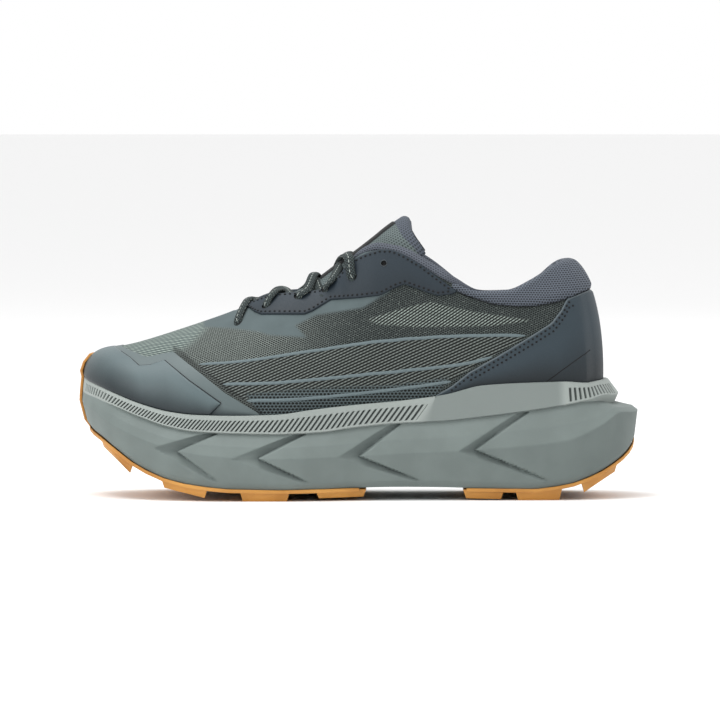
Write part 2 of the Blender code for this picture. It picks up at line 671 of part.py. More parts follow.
def tube(bm, points, radius, sides):
    """A round bar along points, closed at both ends."""
    rings = []
    for i, point in enumerate(points):
        ahead = (points[min(i + 1, len(points) - 1)] - points[max(i - 1, 0)]).normalized()
        level = ahead.cross(Vector((0, 0, 1)))
        level = (level if level.length > 0.1 else ahead.cross(Vector((1, 0, 0)))).normalized()
        over = level.cross(ahead)
        rings.append([bm.verts.new(point + level * (radius * math.cos(turn)) + over * (radius * math.sin(turn)))
                      for turn in (2 * math.pi * (k + 0.5) / sides for k in range(sides))])
    for low, high in zip(rings, rings[1:]):
        strip(bm, low, high)
    bm.faces.new(rings[0][::-1])
    bm.faces.new(rings[-1])


def eyelet_cutter():
    """Short bars through the upper and the eyestay at every eyelet."""
    bm = bmesh.new()
    for side in (LATERAL, MEDIAL):
        for x_share, z_share in EYELETS + [SPARE_EYELET]:
            point, out = find_on_wall(x_share, z_share, side)
            tube(bm, [point - out * (UPPER_WALL * 2), point + out * (OVERLAY * 3)], EYELET_RADIUS, HOLE_SIDES)
    return make_object("eyelet_punch", bm, None)


def tongue_frame(index):
    """Place, direction out of the front face, and sizes of one section of the tongue."""
    row = TONGUE[index]
    before, after = TONGUE[max(index - 1, 0)], TONGUE[min(index + 1, len(TONGUE) - 1)]
    run = Vector((LENGTH * (after.x - before.x), 0.0, HEIGHT * (after.height - before.height))).normalized()
    return Vector((share_x(row.x), 0.0, HEIGHT * row.height)), Vector((-run.z, 0.0, run.x)), row


def build_tongue():
    """Padded tongue: curved across the instep, with a round thick top."""
    bm = bmesh.new()
    across = [-1.0, -0.86, -0.62, -0.33, 0.0, 0.33, 0.62, 0.86, 1.0]
    rings = []
    for index in range(len(TONGUE)):
        centre, out, row = tongue_frame(index)
        mid = WIDTH * TOP_AT["mid"](row.x)
        line = []
        for share in across:
            fall = out * (-WIDTH * row.drop * share * share)
            line.append(centre + fall + Vector((0.0, mid + WIDTH * row.half_width * share, 0.0)))
        under = [point - out * (WIDTH * row.thick * (1.0 - 0.45 * abs(share) ** 3))
                 for point, share in zip(line, across)]
        rings.append([bm.verts.new(point) for point in line + under[::-1]])
    for low, high in zip(rings, rings[1:]):
        strip(bm, low, high)
    for end in (rings[0], rings[-1]):
        for i in range(len(across) - 1):
            bm.faces.new((end[i], end[i + 1], end[-2 - i], end[-1 - i]))
    return make_object("tongue", bm, PADDING)


def over_tongue(x):
    """Height of the tongue's front face over the middle of the shoe."""
    for low, high in zip(TONGUE, TONGUE[1:]):
        if share_x(high.x) >= x:
            share = (x - share_x(low.x)) / (share_x(high.x) - share_x(low.x))
            return HEIGHT * (low.height + (high.height - low.height) * share)
    return HEIGHT * TONGUE[-1].height


def lace_path(first, second):
    """From over one eyelet, over the throat's edge and the tongue, to over another eyelet."""
    lift = GAP + OVERLAY + GAP + LACE_RADIUS
    through = []
    for ((x_share, z_share), side), inward in ((first, 1), (second, -1)):
        point, out = find_on_wall(x_share + inward * LACE_SPREAD, z_share, side)
        ahead = (second[0][0] - first[0][0]) * inward * LACE_EDGE_RUN
        edge = top_point(x_share + ahead, side)
        over = (out + Vector((0.0, -side * 0.6, 1.0)).normalized()).normalized()
        ends = [point + out * (lift + 2 * GAP), edge + over * (lift + LACE_RADIUS * 0.6)]
        through.append(ends)
    middle = (through[0][1] + through[1][1]) / 2
    middle.z = max(over_tongue(middle.x) + LACE_LIFT + LACE_RADIUS, middle.z + LACE_RADIUS)
    knots = through[0] + [middle] + through[1][::-1]
    return smooth_route(knots, LACE_STEPS)


def smooth_route(knots, steps):
    """Points on a smooth curve through the knots, with a few steps between each pair."""
    points = []
    for i in range(len(knots) - 1):
        before, here = knots[max(i - 1, 0)], knots[i]
        there, after = knots[i + 1], knots[min(i + 2, len(knots) - 1)]
        leave, arrive = (there - before) * 0.5, (after - here) * 0.5
        for k in range(steps):
            t = k / steps
            points.append(here * (2 * t ** 3 - 3 * t * t + 1) + leave * (t ** 3 - 2 * t * t + t)
                          + there * (3 * t * t - 2 * t ** 3) + arrive * (t ** 3 - t * t))
    return points + [knots[-1]]


def build_lace():
    """A straight bar in front and a crossing from each pair of eyelets to the next, all joined."""
    runs = [((EYELETS[0], LATERAL), (EYELETS[0], MEDIAL))]
    for low, high in zip(EYELETS, EYELETS[1:]):
        runs += [((low, side), (high, -side)) for side in (LATERAL, MEDIAL)]
    lace = None
    for number, (first, second) in enumerate(runs):
        bm = bmesh.new()
        tube(bm, lace_path(first, second), LACE_RADIUS, LACE_SIDES)
        if lace is None:
            lace = make_object("lace", bm, CORD)
        else:
            boolean(lace, make_object(f"lace_run_{number}", bm, None), "UNION")


def build_insole():
    """Insole that lies in the cup between the walls of the upper."""
    bm = bmesh.new()

    def loop(lift, slant):
        inset = UPPER_WALL + 3 * GAP + slant
        return [bm.verts.new(last_point(along, side, 0.0) - outward(along, side) * inset + Vector((0, 0, lift)))
                for along, side in ring(STATIONS)]

    bottom, low = loop(0.0, INSOLE_UNDERCUT), loop(INSOLE_ROUND, 0.0)
    high, top = loop(INSOLE - INSOLE_ROUND, 0.0), loop(INSOLE, INSOLE_DISH)
    for first, second in ((bottom, low), (low, high), (high, top)):
        strip(bm, first, second)
    ladder(bm, bottom)
    ladder(bm, top)
    return make_object("insole", bm, PADDING)


def edge_at(x, side):
    """y and height of the foam's bottom edge at a place along the shoe."""
    low, high = 0.0, 1.0
    for _ in range(30):
        middle = (low + high) / 2
        if edge_point(middle, side).x < x:
            low = middle
        else:
            high = middle
    point = edge_point((low + high) / 2, side)
    return point.y, point.z


def rubber_slab(name, start, end):
    """The rubber skin under one end of the foam."""
    alongs = [along for along in STATIONS if start <= along <= end]
    bm = bmesh.new()

    def rails(lift, proud):
        lateral = [bm.verts.new(edge_point(along, LATERAL, lift, proud)) for along in alongs]
        medial = [bm.verts.new(edge_point(along, MEDIAL, lift, proud)) for along in alongs]
        return lateral, medial

    levels = [rails(-GLUE_GAP, OUTSOLE_PROUD), rails(-GLUE_GAP - OUTSOLE, OUTSOLE_PROUD)]
    for lateral, medial in levels:
        for i in range(len(alongs) - 1):
            bm.faces.new((lateral[i], lateral[i + 1], medial[i + 1], medial[i]))
    (top_lat, top_med), (low_lat, low_med) = levels
    for high, low in ((top_lat, low_lat), (top_med, low_med)):
        for i in range(len(alongs) - 1):
            bm.faces.new((high[i], high[i + 1], low[i + 1], low[i]))
    for i in (0, -1):
        bm.faces.new((top_lat[i], top_med[i], low_med[i], low_lat[i]))
    bmesh.ops.remove_doubles(bm, verts=bm.verts, dist=1e-6)
    bmesh.ops.dissolve_degenerate(bm, edges=bm.edges, dist=1e-6)
    return make_object(name, bm, GUM)


def lug_cutter(name, lugs):
    """All the lugs of one rubber piece: blocks that narrow downwards, cut level by the floor."""
    bm = bmesh.new()
    for lug in lugs:
        for first, last in LUG_ROWS:
            corners = []
            for x_share, inward in ((lug.start, 1), (lug.end, -1)):
                x = share_x(x_share)
                lateral, height = edge_at(x, LATERAL)
                medial = edge_at(x, MEDIAL)[0]
                for share, side in ((first, 1), (last, -1)):
                    y = lateral + (medial - lateral) * share
                    skin = height - GLUE_GAP - OUTSOLE / 2
                    foot = max(0.0, height - GLUE_GAP - OUTSOLE - LUG_HEIGHT * lug.depth)
                    corners.append((bm.verts.new((x, y, skin)),
                                    bm.verts.new((x + inward * LUG_TAPER, y + side * LUG_TAPER, foot))))
            order = [corners[0], corners[1], corners[3], corners[2]]
            bm.faces.new([top for top, _ in order])
            bm.faces.new([foot for _, foot in reversed(order)])
            for i in range(4):
                j = (i + 1) % 4
                bm.faces.new((order[i][0], order[i][1], order[j][1], order[j][0]))
    return make_object(name, bm, None)


def toe_wrap():
    """Rubber that runs up the front of the foam and the toe box."""
    count = len(ring(STATIONS))
    first, last = TOE_WRAP
    columns = []
    for index in range(last, first - 1, -1):
        along, side = ring(STATIONS)[(-index) % count]
        low = edge_point(along, side)
        start = low - (chamfer_point(along, side) - low) * 0.2
        column = [start, low] + [maker(along, side) for maker in
                                 (chamfer_point, ridge_point, lip_point, band_point, rim_point)]
        reach = TOE_WRAP_TOP * (1.0 - 0.45 * (abs(index - 2.0) / 4.0) ** 2)
        column += [wall_point(along, side, reach * share) + outward(along, side) * (1.6 * (OVERLAY + GAP))
                   for share in (0.25, 0.6, 1.0)]
        columns.append(column)
    return Skin(columns, closed=False).shell("toe_wrap", GAP + 0.0001, GAP + TOE_RUBBER, None)


def build_outsole():
    front = rubber_slab("outsole_forefoot", *FOREFOOT_RUBBER)
    boolean(front, toe_wrap(), "UNION")
    boolean(front, lug_cutter("forefoot_lugs", LUGS[:4]), "UNION")
    heel = rubber_slab("outsole_heel", *HEEL_RUBBER)
    boolean(heel, lug_cutter("heel_lugs", LUGS[4:]), "UNION")


def main():
    for obj in list(bpy.data.objects):
        bpy.data.objects.remove(obj)
    build_midsole()
    build_outsole()
    build_insole()
    build_upper()
    build_overlays()
    build_tongue()
    build_lace()


main()
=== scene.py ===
"""Looks of the left trail running shoe: each visible surface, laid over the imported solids.

Metres, +Z up. The toe points to -X, the outer (lateral) side faces -Y. Outlines are given in
millimetres as a camera beside the shoe sees them, a little from above.
"""
import json
import logging
import math
from collections.abc import Callable, Sequence
from dataclasses import dataclass, field
from enum import Enum
from typing import NamedTuple

import bmesh
import bpy
import numpy as np
from bmesh.types import BMesh
from mathutils import Matrix, Vector

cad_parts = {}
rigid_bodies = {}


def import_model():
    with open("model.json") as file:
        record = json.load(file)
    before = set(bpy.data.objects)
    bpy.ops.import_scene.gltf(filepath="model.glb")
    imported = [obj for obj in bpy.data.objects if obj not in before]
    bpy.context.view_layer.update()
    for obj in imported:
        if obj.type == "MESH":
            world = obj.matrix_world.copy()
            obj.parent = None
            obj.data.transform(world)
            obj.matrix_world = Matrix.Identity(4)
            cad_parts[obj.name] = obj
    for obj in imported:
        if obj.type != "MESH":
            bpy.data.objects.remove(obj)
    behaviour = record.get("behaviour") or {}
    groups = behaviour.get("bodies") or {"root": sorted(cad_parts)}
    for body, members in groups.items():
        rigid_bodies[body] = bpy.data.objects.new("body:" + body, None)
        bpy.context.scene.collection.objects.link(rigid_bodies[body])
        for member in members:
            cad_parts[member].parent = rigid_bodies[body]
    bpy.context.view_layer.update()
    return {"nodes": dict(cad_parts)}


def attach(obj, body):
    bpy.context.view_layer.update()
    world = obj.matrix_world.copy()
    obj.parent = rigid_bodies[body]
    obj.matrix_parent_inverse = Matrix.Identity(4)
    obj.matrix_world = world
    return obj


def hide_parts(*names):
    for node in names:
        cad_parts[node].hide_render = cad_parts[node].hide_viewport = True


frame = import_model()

log = logging.getLogger("shoe")
Array = np.ndarray
Pair = tuple[float, float]
Points = Sequence[Pair]
Laid = tuple[Array, dict[str, Array]]
MM = 0.001
FULL_TURN = 2 * math.pi
UP = np.array([0.0, 0.0, 1.0])
HANDS = ((-1.0, "lateral"), (1.0, "medial"))


class Plan(NamedTuple):
    """Footprint: half widths as shares of the width."""

    along: float
    lateral: float
    medial: float


class Side(NamedTuple):
    """Side of the sole: heights as shares of the stack, insets as shares of the width."""

    along: float
    edge: float
    ridge: float
    band: float
    rim: float
    floor: float
    edge_in: float
    band_in: float
    rim_in: float
    last_in: float


class Top(NamedTuple):
    """Top line: x of the length, height of the height, middle and half opening of the width."""

    along: float
    x: float
    height: float
    mid: float
    half: float


class Wall(NamedTuple):
    """Handles of the upper's wall, as shares of the distance from rim to top line."""

    along: float
    rise: float
    flare: float
    reach: float
    drop: float


class Flap(NamedTuple):
    """One section of the tongue: x of the length, height of the height, the rest of the width."""

    x: float
    height: float
    half_width: float
    drop: float
    thick: float


PLAN = [Plan(*row) for row in (
    (0.00, 0.079, 0.079), (0.02, -0.132, 0.254), (0.05, -0.263, 0.338),
    (0.10, -0.368, 0.412), (0.15, -0.434, 0.456), (0.20, -0.474, 0.487),
    (0.27, -0.500, 0.500), (0.35, -0.500, 0.474), (0.43, -0.474, 0.425),
    (0.50, -0.439, 0.390), (0.57, -0.417, 0.377), (0.65, -0.408, 0.377),
    (0.72, -0.408, 0.382), (0.80, -0.408, 0.390), (0.87, -0.395, 0.382),
    (0.93, -0.338, 0.329), (0.97, -0.237, 0.232), (1.00, 0.000, 0.000),
)]
SIDE = [Side(*row) for row in (
    (0.00, 0.603, 0.810, 0.900, 1.006, 0.762, 0.044, 0.003, 0.009, 0.023),
    (0.02, 0.524, 0.746, 0.862, 0.952, 0.730, 0.044, 0.009, 0.018, 0.033),
    (0.05, 0.437, 0.651, 0.805, 0.889, 0.667, 0.039, 0.018, 0.031, 0.051),
    (0.10, 0.286, 0.540, 0.710, 0.803, 0.587, 0.035, 0.031, 0.044, 0.070),
    (0.15, 0.189, 0.460, 0.635, 0.746, 0.532, 0.031, 0.039, 0.053, 0.083),
    (0.20, 0.138, 0.405, 0.595, 0.722, 0.492, 0.031, 0.044, 0.057, 0.089),
    (0.27, 0.106, 0.373, 0.581, 0.716, 0.468, 0.031, 0.048, 0.061, 0.093),
    (0.35, 0.098, 0.362, 0.573, 0.725, 0.468, 0.031, 0.048, 0.061, 0.093),
    (0.43, 0.103, 0.370, 0.587, 0.771, 0.484, 0.035, 0.048, 0.060, 0.090),
    (0.50, 0.111, 0.381, 0.630, 0.806, 0.508, 0.042, 0.044, 0.057, 0.086),
    (0.57, 0.114, 0.397, 0.660, 0.835, 0.532, 0.044, 0.044, 0.057, 0.084),
    (0.65, 0.111, 0.413, 0.678, 0.886, 0.556, 0.038, 0.044, 0.057, 0.084),
    (0.72, 0.102, 0.435, 0.714, 0.965, 0.571, 0.033, 0.048, 0.066, 0.092),
    (0.80, 0.097, 0.465, 0.762, 0.987, 0.587, 0.031, 0.053, 0.075, 0.104),
    (0.87, 0.133, 0.508, 0.810, 0.994, 0.595, 0.035, 0.061, 0.088, 0.118),
    (0.93, 0.222, 0.627, 0.854, 0.979, 0.603, 0.035, 0.075, 0.110, 0.140),
    (0.97, 0.325, 0.746, 0.889, 0.989, 0.603, 0.031, 0.088, 0.132, 0.163),
    (1.00, 0.500, 0.770, 0.917, 1.000, 0.603, 0.026, 0.091, 0.140, 0.170),
)]
TOP = [Top(*row) for row in (
    (0.00, 0.0754, 0.533, 0.079, 0.000), (0.02, 0.082, 0.536, 0.077, 0.000),
    (0.05, 0.099, 0.544, 0.070, 0.000), (0.10, 0.136, 0.566, 0.061, 0.000),
    (0.15, 0.176, 0.592, 0.048, 0.000), (0.20, 0.216, 0.619, 0.035, 0.000),
    (0.275, 0.278, 0.664, 0.022, 0.000), (0.30, 0.303, 0.687, 0.018, 0.061),
    (0.35, 0.350, 0.722, 0.013, 0.132), (0.43, 0.430, 0.741, 0.009, 0.154),
    (0.47, 0.466, 0.793, 0.004, 0.171), (0.50, 0.491, 0.857, 0.000, 0.189),
    (0.53, 0.531, 0.897, 0.000, 0.211), (0.57, 0.571, 0.887, 0.000, 0.237),
    (0.62, 0.621, 0.837, 0.000, 0.268), (0.67, 0.668, 0.783, 0.000, 0.289),
    (0.72, 0.715, 0.747, 0.000, 0.294), (0.78, 0.765, 0.750, 0.000, 0.281),
    (0.84, 0.809, 0.787, 0.000, 0.237), (0.90, 0.842, 0.831, 0.000, 0.162),
    (0.95, 0.861, 0.850, 0.000, 0.083), (1.00, 0.866, 0.853, 0.000, 0.000),
)]
WALL = [Wall(*row) for row in (
    (0.00, 0.37, 0.03, 0.44, 0.02), (0.05, 0.33, 0.03, 0.44, 0.05),
    (0.10, 0.33, 0.03, 0.43, 0.07), (0.20, 0.36, 0.03, 0.40, 0.09),
    (0.27, 0.36, 0.03, 0.38, 0.12), (0.35, 0.38, 0.03, 0.24, 0.15),
    (0.43, 0.40, 0.03, 0.20, 0.20), (0.50, 0.38, 0.03, 0.12, 0.26),
    (0.57, 0.36, 0.02, 0.06, 0.30), (0.65, 0.36, 0.02, 0.03, 0.32),
    (0.72, 0.36, 0.01, 0.03, 0.32), (0.80, 0.38, 0.01, 0.06, 0.30),
    (0.87, 0.42, 0.01, 0.12, 0.22), (0.93, 0.46, 0.01, 0.18, 0.10),
    (1.00, 0.47, 0.01, 0.21, 0.03),
)]
TONGUE = [Flap(*row) for row in (
    (0.263, 0.593, 0.114, 0.035, 0.022), (0.303, 0.643, 0.149, 0.053, 0.031),
    (0.347, 0.689, 0.175, 0.079, 0.039), (0.397, 0.740, 0.193, 0.100, 0.044),
    (0.447, 0.796, 0.180, 0.110, 0.044), (0.487, 0.847, 0.178, 0.116, 0.048),
    (0.527, 0.908, 0.182, 0.130, 0.055), (0.561, 0.965, 0.182, 0.128, 0.064),
    (0.578, 0.990, 0.180, 0.118, 0.060), (0.588, 0.994, 0.160, 0.100, 0.035),
)]


# Small numeric helpers


def smooth(low: float, high: float, value: Array) -> Array:
    """Rises from 0 at low to 1 at high, level at both ends."""
    t = np.clip((np.asarray(value, float) - low) / (high - low), 0.0, 1.0)
    return t * t * (3.0 - 2.0 * t)


def unit(vectors: Array) -> Array:
    """The same directions with a length of 1."""
    return vectors / np.maximum(np.linalg.norm(vectors, axis=-1, keepdims=True), 1e-12)


def line_height(points: Points, x: Array) -> Array:
    """Height in metres of an outline given in millimetres, at places x in metres."""
    xs, zs = np.array(sorted(points)).T * MM
    return np.interp(x, xs, zs)


def signed_distance(points: Points, x: Array, z: Array) -> Array:
    """Distance into a closed outline.

    Args:
        points: Corners of the outline in millimetres.
        x: Places along the shoe in metres.
        z: Heights in metres.

    Returns:
        Millimetres from the outline, positive inside it.
    """
    place = np.stack([x, z], axis=-1) / MM
    corners = np.array(points, float)
    best = np.full(len(place), 1e9)
    inside = np.zeros(len(place), bool)
    for a, b in zip(corners, np.roll(corners, -1, axis=0)):
        run = b - a
        share = np.clip(((place - a) @ run) / (run @ run), 0.0, 1.0)
        best = np.minimum(best, np.linalg.norm(place - a - share[:, None] * run, axis=1))
        crosses = (a[1] > place[:, 1]) != (b[1] > place[:, 1])
        at = a[0] + (place[:, 1] - a[1]) * run[0] / (run[1] if abs(run[1]) > 1e-9 else 1e-9)
        inside ^= crosses & (place[:, 0] < at)
    return np.where(inside, best, -best)


def spline(knots: Array, steps: int) -> Array:
    """Points on a smooth curve through knots, with a number of steps between each pair."""
    before = np.vstack([2 * knots[:1] - knots[1:2], knots[:-1]])
    after = np.vstack([knots[1:], 2 * knots[-1:] - knots[-2:-1]])
    slope = (after - before) / 2
    t = (np.arange(steps) / steps)[None, :, None]
    here, there, leave, arrive = knots[:-1, None], knots[1:, None], slope[:-1, None], slope[1:, None]
    curve = (here * (2 * t**3 - 3 * t**2 + 1) + leave * (t**3 - 2 * t**2 + t)
             + there * (3 * t**2 - 2 * t**3) + arrive * (t**3 - t**2))
    return np.vstack([curve.reshape(-1, knots.shape[1]), knots[-1:]])


def run_length(points: Array) -> Array:
    """Length of a line of points up to each point."""
    return np.concatenate([[0.0], np.cumsum(np.linalg.norm(np.diff(points, axis=0), axis=1))])


def quarter_round(share: Array) -> Array:
    """Height of a rounded edge, 0 at share 0 and level at share 1."""
    return np.sqrt(1.0 - (1.0 - share)**2)


def both_sides(lateral: Array) -> Array:
    """Turns once round the shoe, from those of the lateral side."""
    return np.concatenate([lateral, FULL_TURN - lateral[-2::-1]])


class Curve:
    """A smooth curve through a column of a table that never swings past its values."""

    def __init__(self, alongs: Sequence[float], values: Sequence[float]) -> None:
        """Works out the slope at each row, read against the angle of a half circle."""
        self.knots = self.angle(np.array(alongs, float))
        self.values = np.array(values, float)
        spans, rises = np.diff(self.knots), np.diff(self.values) / np.diff(self.knots)
        slopes = [rises[0]]
        for before, after, left, right in zip(rises, rises[1:], spans, spans[1:]):
            first, second = 2 * right + left, right + 2 * left
            turns = before * after <= 0.0
            slopes.append(0.0 if turns else (first + second) / (first / before + second / after))
        self.slopes = np.array(slopes + [rises[-1]])

    @staticmethod
    def angle(along: Array) -> Array:
        """Angle of a half circle drawn over the shoe's length."""
        return np.arccos(np.clip(1.0 - 2.0 * np.asarray(along, float), -1.0, 1.0))

    def __call__(self, along: Array) -> Array:
        """Value at a share of the length."""
        angle = self.angle(along)
        index = np.clip(np.searchsorted(self.knots, angle, side="right") - 1, 0, len(self.knots) - 2)
        span = self.knots[index + 1] - self.knots[index]
        t = (angle - self.knots[index]) / span
        return ((1 + 2 * t) * (1 - t)**2 * self.values[index]
                + t * (1 - t)**2 * span * self.slopes[index]
                + t * t * (3 - 2 * t) * self.values[index + 1]
                + t * t * (t - 1) * span * self.slopes[index + 1])


def curves(rows: Sequence[NamedTuple]) -> dict[str, Curve]:
    """One curve for each named column of a table."""
    alongs = [row.along for row in rows]
    return {name: Curve(alongs, [getattr(row, name) for row in rows]) for name in rows[0]._fields[1:]}


@dataclass
class Form:
    """The shoe's sizes and surfaces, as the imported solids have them.

    A place round the shoe is a turn: 0 at the toe, up to pi along the lateral side to the heel,
    and on to two pi along the medial side.
    """

    length: float = 0.300
    width: float = 0.114
    stack: float = 0.063
    height: float = 0.150
    gap: float = 0.0003
    toe_rubber: float = 0.0011
    chamfer: float = 0.0032
    band_step: float = 0.0012
    throat_start: float = 0.275
    rear_droop: float = 0.0022
    upper_wall: float = 0.0020
    collar_pad: float = 0.0050
    medial_dip: float = 0.0032
    plan: dict[str, Curve] = field(default_factory=lambda: curves(PLAN))
    side: dict[str, Curve] = field(default_factory=lambda: curves(SIDE))
    top_line: dict[str, Curve] = field(default_factory=lambda: curves(TOP))
    handles: dict[str, Curve] = field(default_factory=lambda: curves(WALL))

    def along(self, turn: Array) -> Array:
        """Share of the length at a turn."""
        return (1.0 - np.cos(turn)) / 2.0

    def hand(self, turn: Array) -> Array:
        """-1 on the lateral side and 1 on the medial side."""
        return np.where(np.sin(turn) >= -1e-9, -1.0, 1.0)

    def turn_at(self, along: float, hand: float = -1.0) -> float:
        """Turn of a share of the length on one side."""
        turn = math.acos(max(-1.0, min(1.0, 1.0 - 2.0 * along)))
        return turn if hand < 0 else FULL_TURN - turn

    def footprint(self, turn: Array) -> Array:
        """Widest line of the foam, on the floor."""
        along = self.along(turn)
        sole = self.length - self.gap - self.toe_rubber
        x = self.length / 2 - sole + sole * along
        lateral, medial = self.plan["lateral"](along), self.plan["medial"](along)
        y = self.width * np.where(self.hand(turn) < 0, lateral, medial)
        return np.stack([x, y, np.zeros_like(x)], axis=-1)

    def outward(self, turn: Array) -> Array:
        """Level direction out of the footprint."""
        run = self.footprint(turn + 0.02) - self.footprint(turn - 0.02)
        return unit(np.stack([run[:, 1], -run[:, 0], np.zeros(len(run))], axis=-1))

    def sole(self, turn: Array, inset: Array, height: Array) -> Array:
        """A point of the sole, an inset in metres from the footprint."""
        point = self.footprint(turn) - self.outward(turn) * np.asarray(inset)[:, None]
        point[:, 2] = height
        return point

    def level(self, name: str, turn: Array) -> Array:
        """One of the lines round the foam: edge, chamfer, ridge, lip, under, band or rim."""
        along = self.along(turn)
        at = {key: curve(along) for key, curve in self.side.items()}
        wing, back = smooth(0.86, 0.97, along), smooth(0.90, 1.0, along)
        droop = self.rear_droop * smooth(0.955, 1.0, along)
        step = self.band_step * smooth(0.02, 0.08, along)
        inset, height = {
            "edge": (at["edge_in"] * self.width, at["edge"] * self.stack),
            "chamfer": (at["edge_in"] * self.width / 2, at["edge"] * self.stack + self.chamfer),
            "ridge": (0.0 * along, at["ridge"] * self.stack - droop),
            "lip": (at["band_in"] * self.width * (0.42 - 0.12 * wing),
                    self.stack * (at["ridge"] + (at["band"] - at["ridge"]) * (0.45 - 0.19 * wing)) - droop),
            "under": (at["band_in"] * self.width + step + 0.0008 * back,
                      at["band"] * self.stack - 0.0007 - 0.0040 * back - droop),
            "band": (at["band_in"] * self.width, at["band"] * self.stack - droop),
            "rim": (at["rim_in"] * self.width, at["rim"] * self.stack),
        }[name]
        return self.sole(turn, inset, height)

    def last(self, turn: Array, share: Array, proud: float = 0.0) -> Array:
        """Outer face of the upper inside the cup: share 0 at the floor, 1 at the rim."""
        along = self.along(turn)
        tuck = (0.022 + 0.006 * smooth(0.8, 1.0, along)) * (1.0 - share)**1.5
        floor = self.stack * self.side["floor"](along)
        rim = self.stack * self.side["rim"](along)
        inset = (self.side["last_in"](along) + tuck) * self.width - proud
        return self.sole(turn, inset, floor + self.gap + (rim - floor - self.gap) * share)

    def top(self, turn: Array) -> Array:
        """Top line: crest of the toe box, throat edge and collar."""
        along = self.along(turn)
        half = np.where(along > self.throat_start, self.top_line["half"](along), 0.0)
        y = self.width * (self.top_line["mid"](along) + self.hand(turn) * half)
        x = self.length * (self.top_line["x"](along) - 0.5)
        dip = self.medial_dip * smooth(0.60, 0.70, along) * (1 - smooth(0.84, 0.93, along))
        z = self.height * self.top_line["height"](along) - np.where(self.hand(turn) > 0, dip, 0.0)
        return np.stack([x, y, z], axis=-1)

    def wall(self, turn: Array, w: Array) -> Array:
        """Outer face of the upper over the rim: w runs from the rim, 0, to the top line, 1."""
        along = self.along(turn)
        low, high = self.last(turn, np.ones_like(along)), self.top(turn)
        reach = np.linalg.norm(high - low, axis=1)
        out = self.outward(turn)
        handle = {name: (curve(along) * reach)[:, None] for name, curve in self.handles.items()}
        first = low + UP * handle["rise"] + out * handle["flare"]
        second = high - UP * handle["drop"] + out * handle["reach"]
        w = np.asarray(w)[:, None]
        return low * (1 - w)**3 + first * (3 * w * (1 - w)**2) + second * (3 * w * w * (1 - w)) + high * w**3

    def out_of_wall(self, turn: Array, w: Array) -> Array:
        """Direction out of the upper's outer face, the same from both sides at the toe's crest."""
        out = self.out_of_side(turn, w)
        crest = (np.asarray(w) > 0.9999) & (self.along(turn) <= self.throat_start)
        both = out + self.out_of_side(FULL_TURN - turn, w)
        both[:, 1] = 0.0
        return np.where(crest[:, None], unit(both), out)

    def out_of_side(self, turn: Array, w: Array) -> Array:
        """Direction out of one side of the upper."""
        run = self.wall(turn + 0.004, w) - self.wall(turn - 0.004, w)
        rise = self.wall(turn, np.clip(w + 0.01, 0, 1)) - self.wall(turn, np.clip(w - 0.01, 0, 1))
        return unit(np.cross(run, rise))

    def even_turns(self, half: int) -> Array:
        """Turns once round the shoe, evenly spaced and the same on both sides."""
        fine = np.linspace(0.0, math.pi, 1441)
        lengths = (run_length(self.footprint(fine)) + run_length(self.footprint(FULL_TURN - fine))) / 2
        lateral = np.interp(np.linspace(0, lengths[-1], half + 1), lengths, fine)
        return both_sides(lateral)


CAMERA_TILT = 0.0523      # the camera looks down by 3 degrees
CAMERA_SIDE = 0.050       # and is scaled for a plane this far to the lateral side


def seen_height(points: Array) -> Array:
    """Height at which the camera sees points, both sides taken as the lateral one."""
    return points[:, 2] + (CAMERA_SIDE - np.abs(points[:, 1])) * CAMERA_TILT


# Shader graph


class Term:
    """A number in a shader, a socket or a constant, that takes part in arithmetic."""

    def __init__(self, paint: "Paint", socket: bpy.types.NodeSocket) -> None:
        """Wraps an output socket."""
        self.paint = paint
        self.socket = socket

    def apply(self, operation: str, *others: "Term | float") -> "Term":
        """One Math node on this number and others."""
        return self.paint.math(operation, self, *others)

    def __add__(self, other: "Term | float") -> "Term":
        """Sum."""
        return self.apply("ADD", other)

    __radd__ = __add__

    def __mul__(self, other: "Term | float") -> "Term":
        """Product."""
        return self.apply("MULTIPLY", other)

    __rmul__ = __mul__

    def __sub__(self, other: "Term | float") -> "Term":
        """Difference."""
        return self.apply("SUBTRACT", other)

    def __rsub__(self, other: float) -> "Term":
        """Difference with the constant first."""
        return self.paint.math("SUBTRACT", other, self)

    def __truediv__(self, other: "Term | float") -> "Term":
        """Quotient."""
        return self.apply("DIVIDE", other)

    def __abs__(self) -> "Term":
        """Size without the sign."""
        return self.apply("ABSOLUTE")

    def fraction(self) -> "Term":
        """Part after the point."""
        return self.apply("FRACT")

    def floor(self) -> "Term":
        """Whole number below."""
        return self.apply("FLOOR")

    def step(self, low: float, high: float) -> "Term":
        """Smooth rise from 0 at low to 1 at high."""
        node = self.paint.node("ShaderNodeMapRange", {"interpolation_type": "SMOOTHSTEP"},
                               {0: self, 1: low, 2: high, 3: 0.0, 4: 1.0})
        return Term(self.paint, node.outputs[0])

    def wave(self) -> "Term":
        """Even wave between 0 and 1 with a period of 1."""
        return (self * FULL_TURN).apply("SINE") * 0.5 + 0.5


Colour = tuple[float, float, float]


STUDIO_GAIN = 1.35        # light on the shoe's sides, against a white background of 1


def srgb(red: float, green: float, blue: float) -> Colour:
    """Colour that the studio shows as a screen colour given from 0 to 255."""
    values = [value / 255 for value in (red, green, blue)]
    linear = [v / 12.92 if v <= 0.04045 else ((v + 0.055) / 1.055)**2.4 for v in values]
    return tuple(value / STUDIO_GAIN for value in linear)


def tinted(colour: Colour, factor: float) -> Colour:
    """The same colour, lighter or darker."""
    return tuple(factor * value for value in colour)


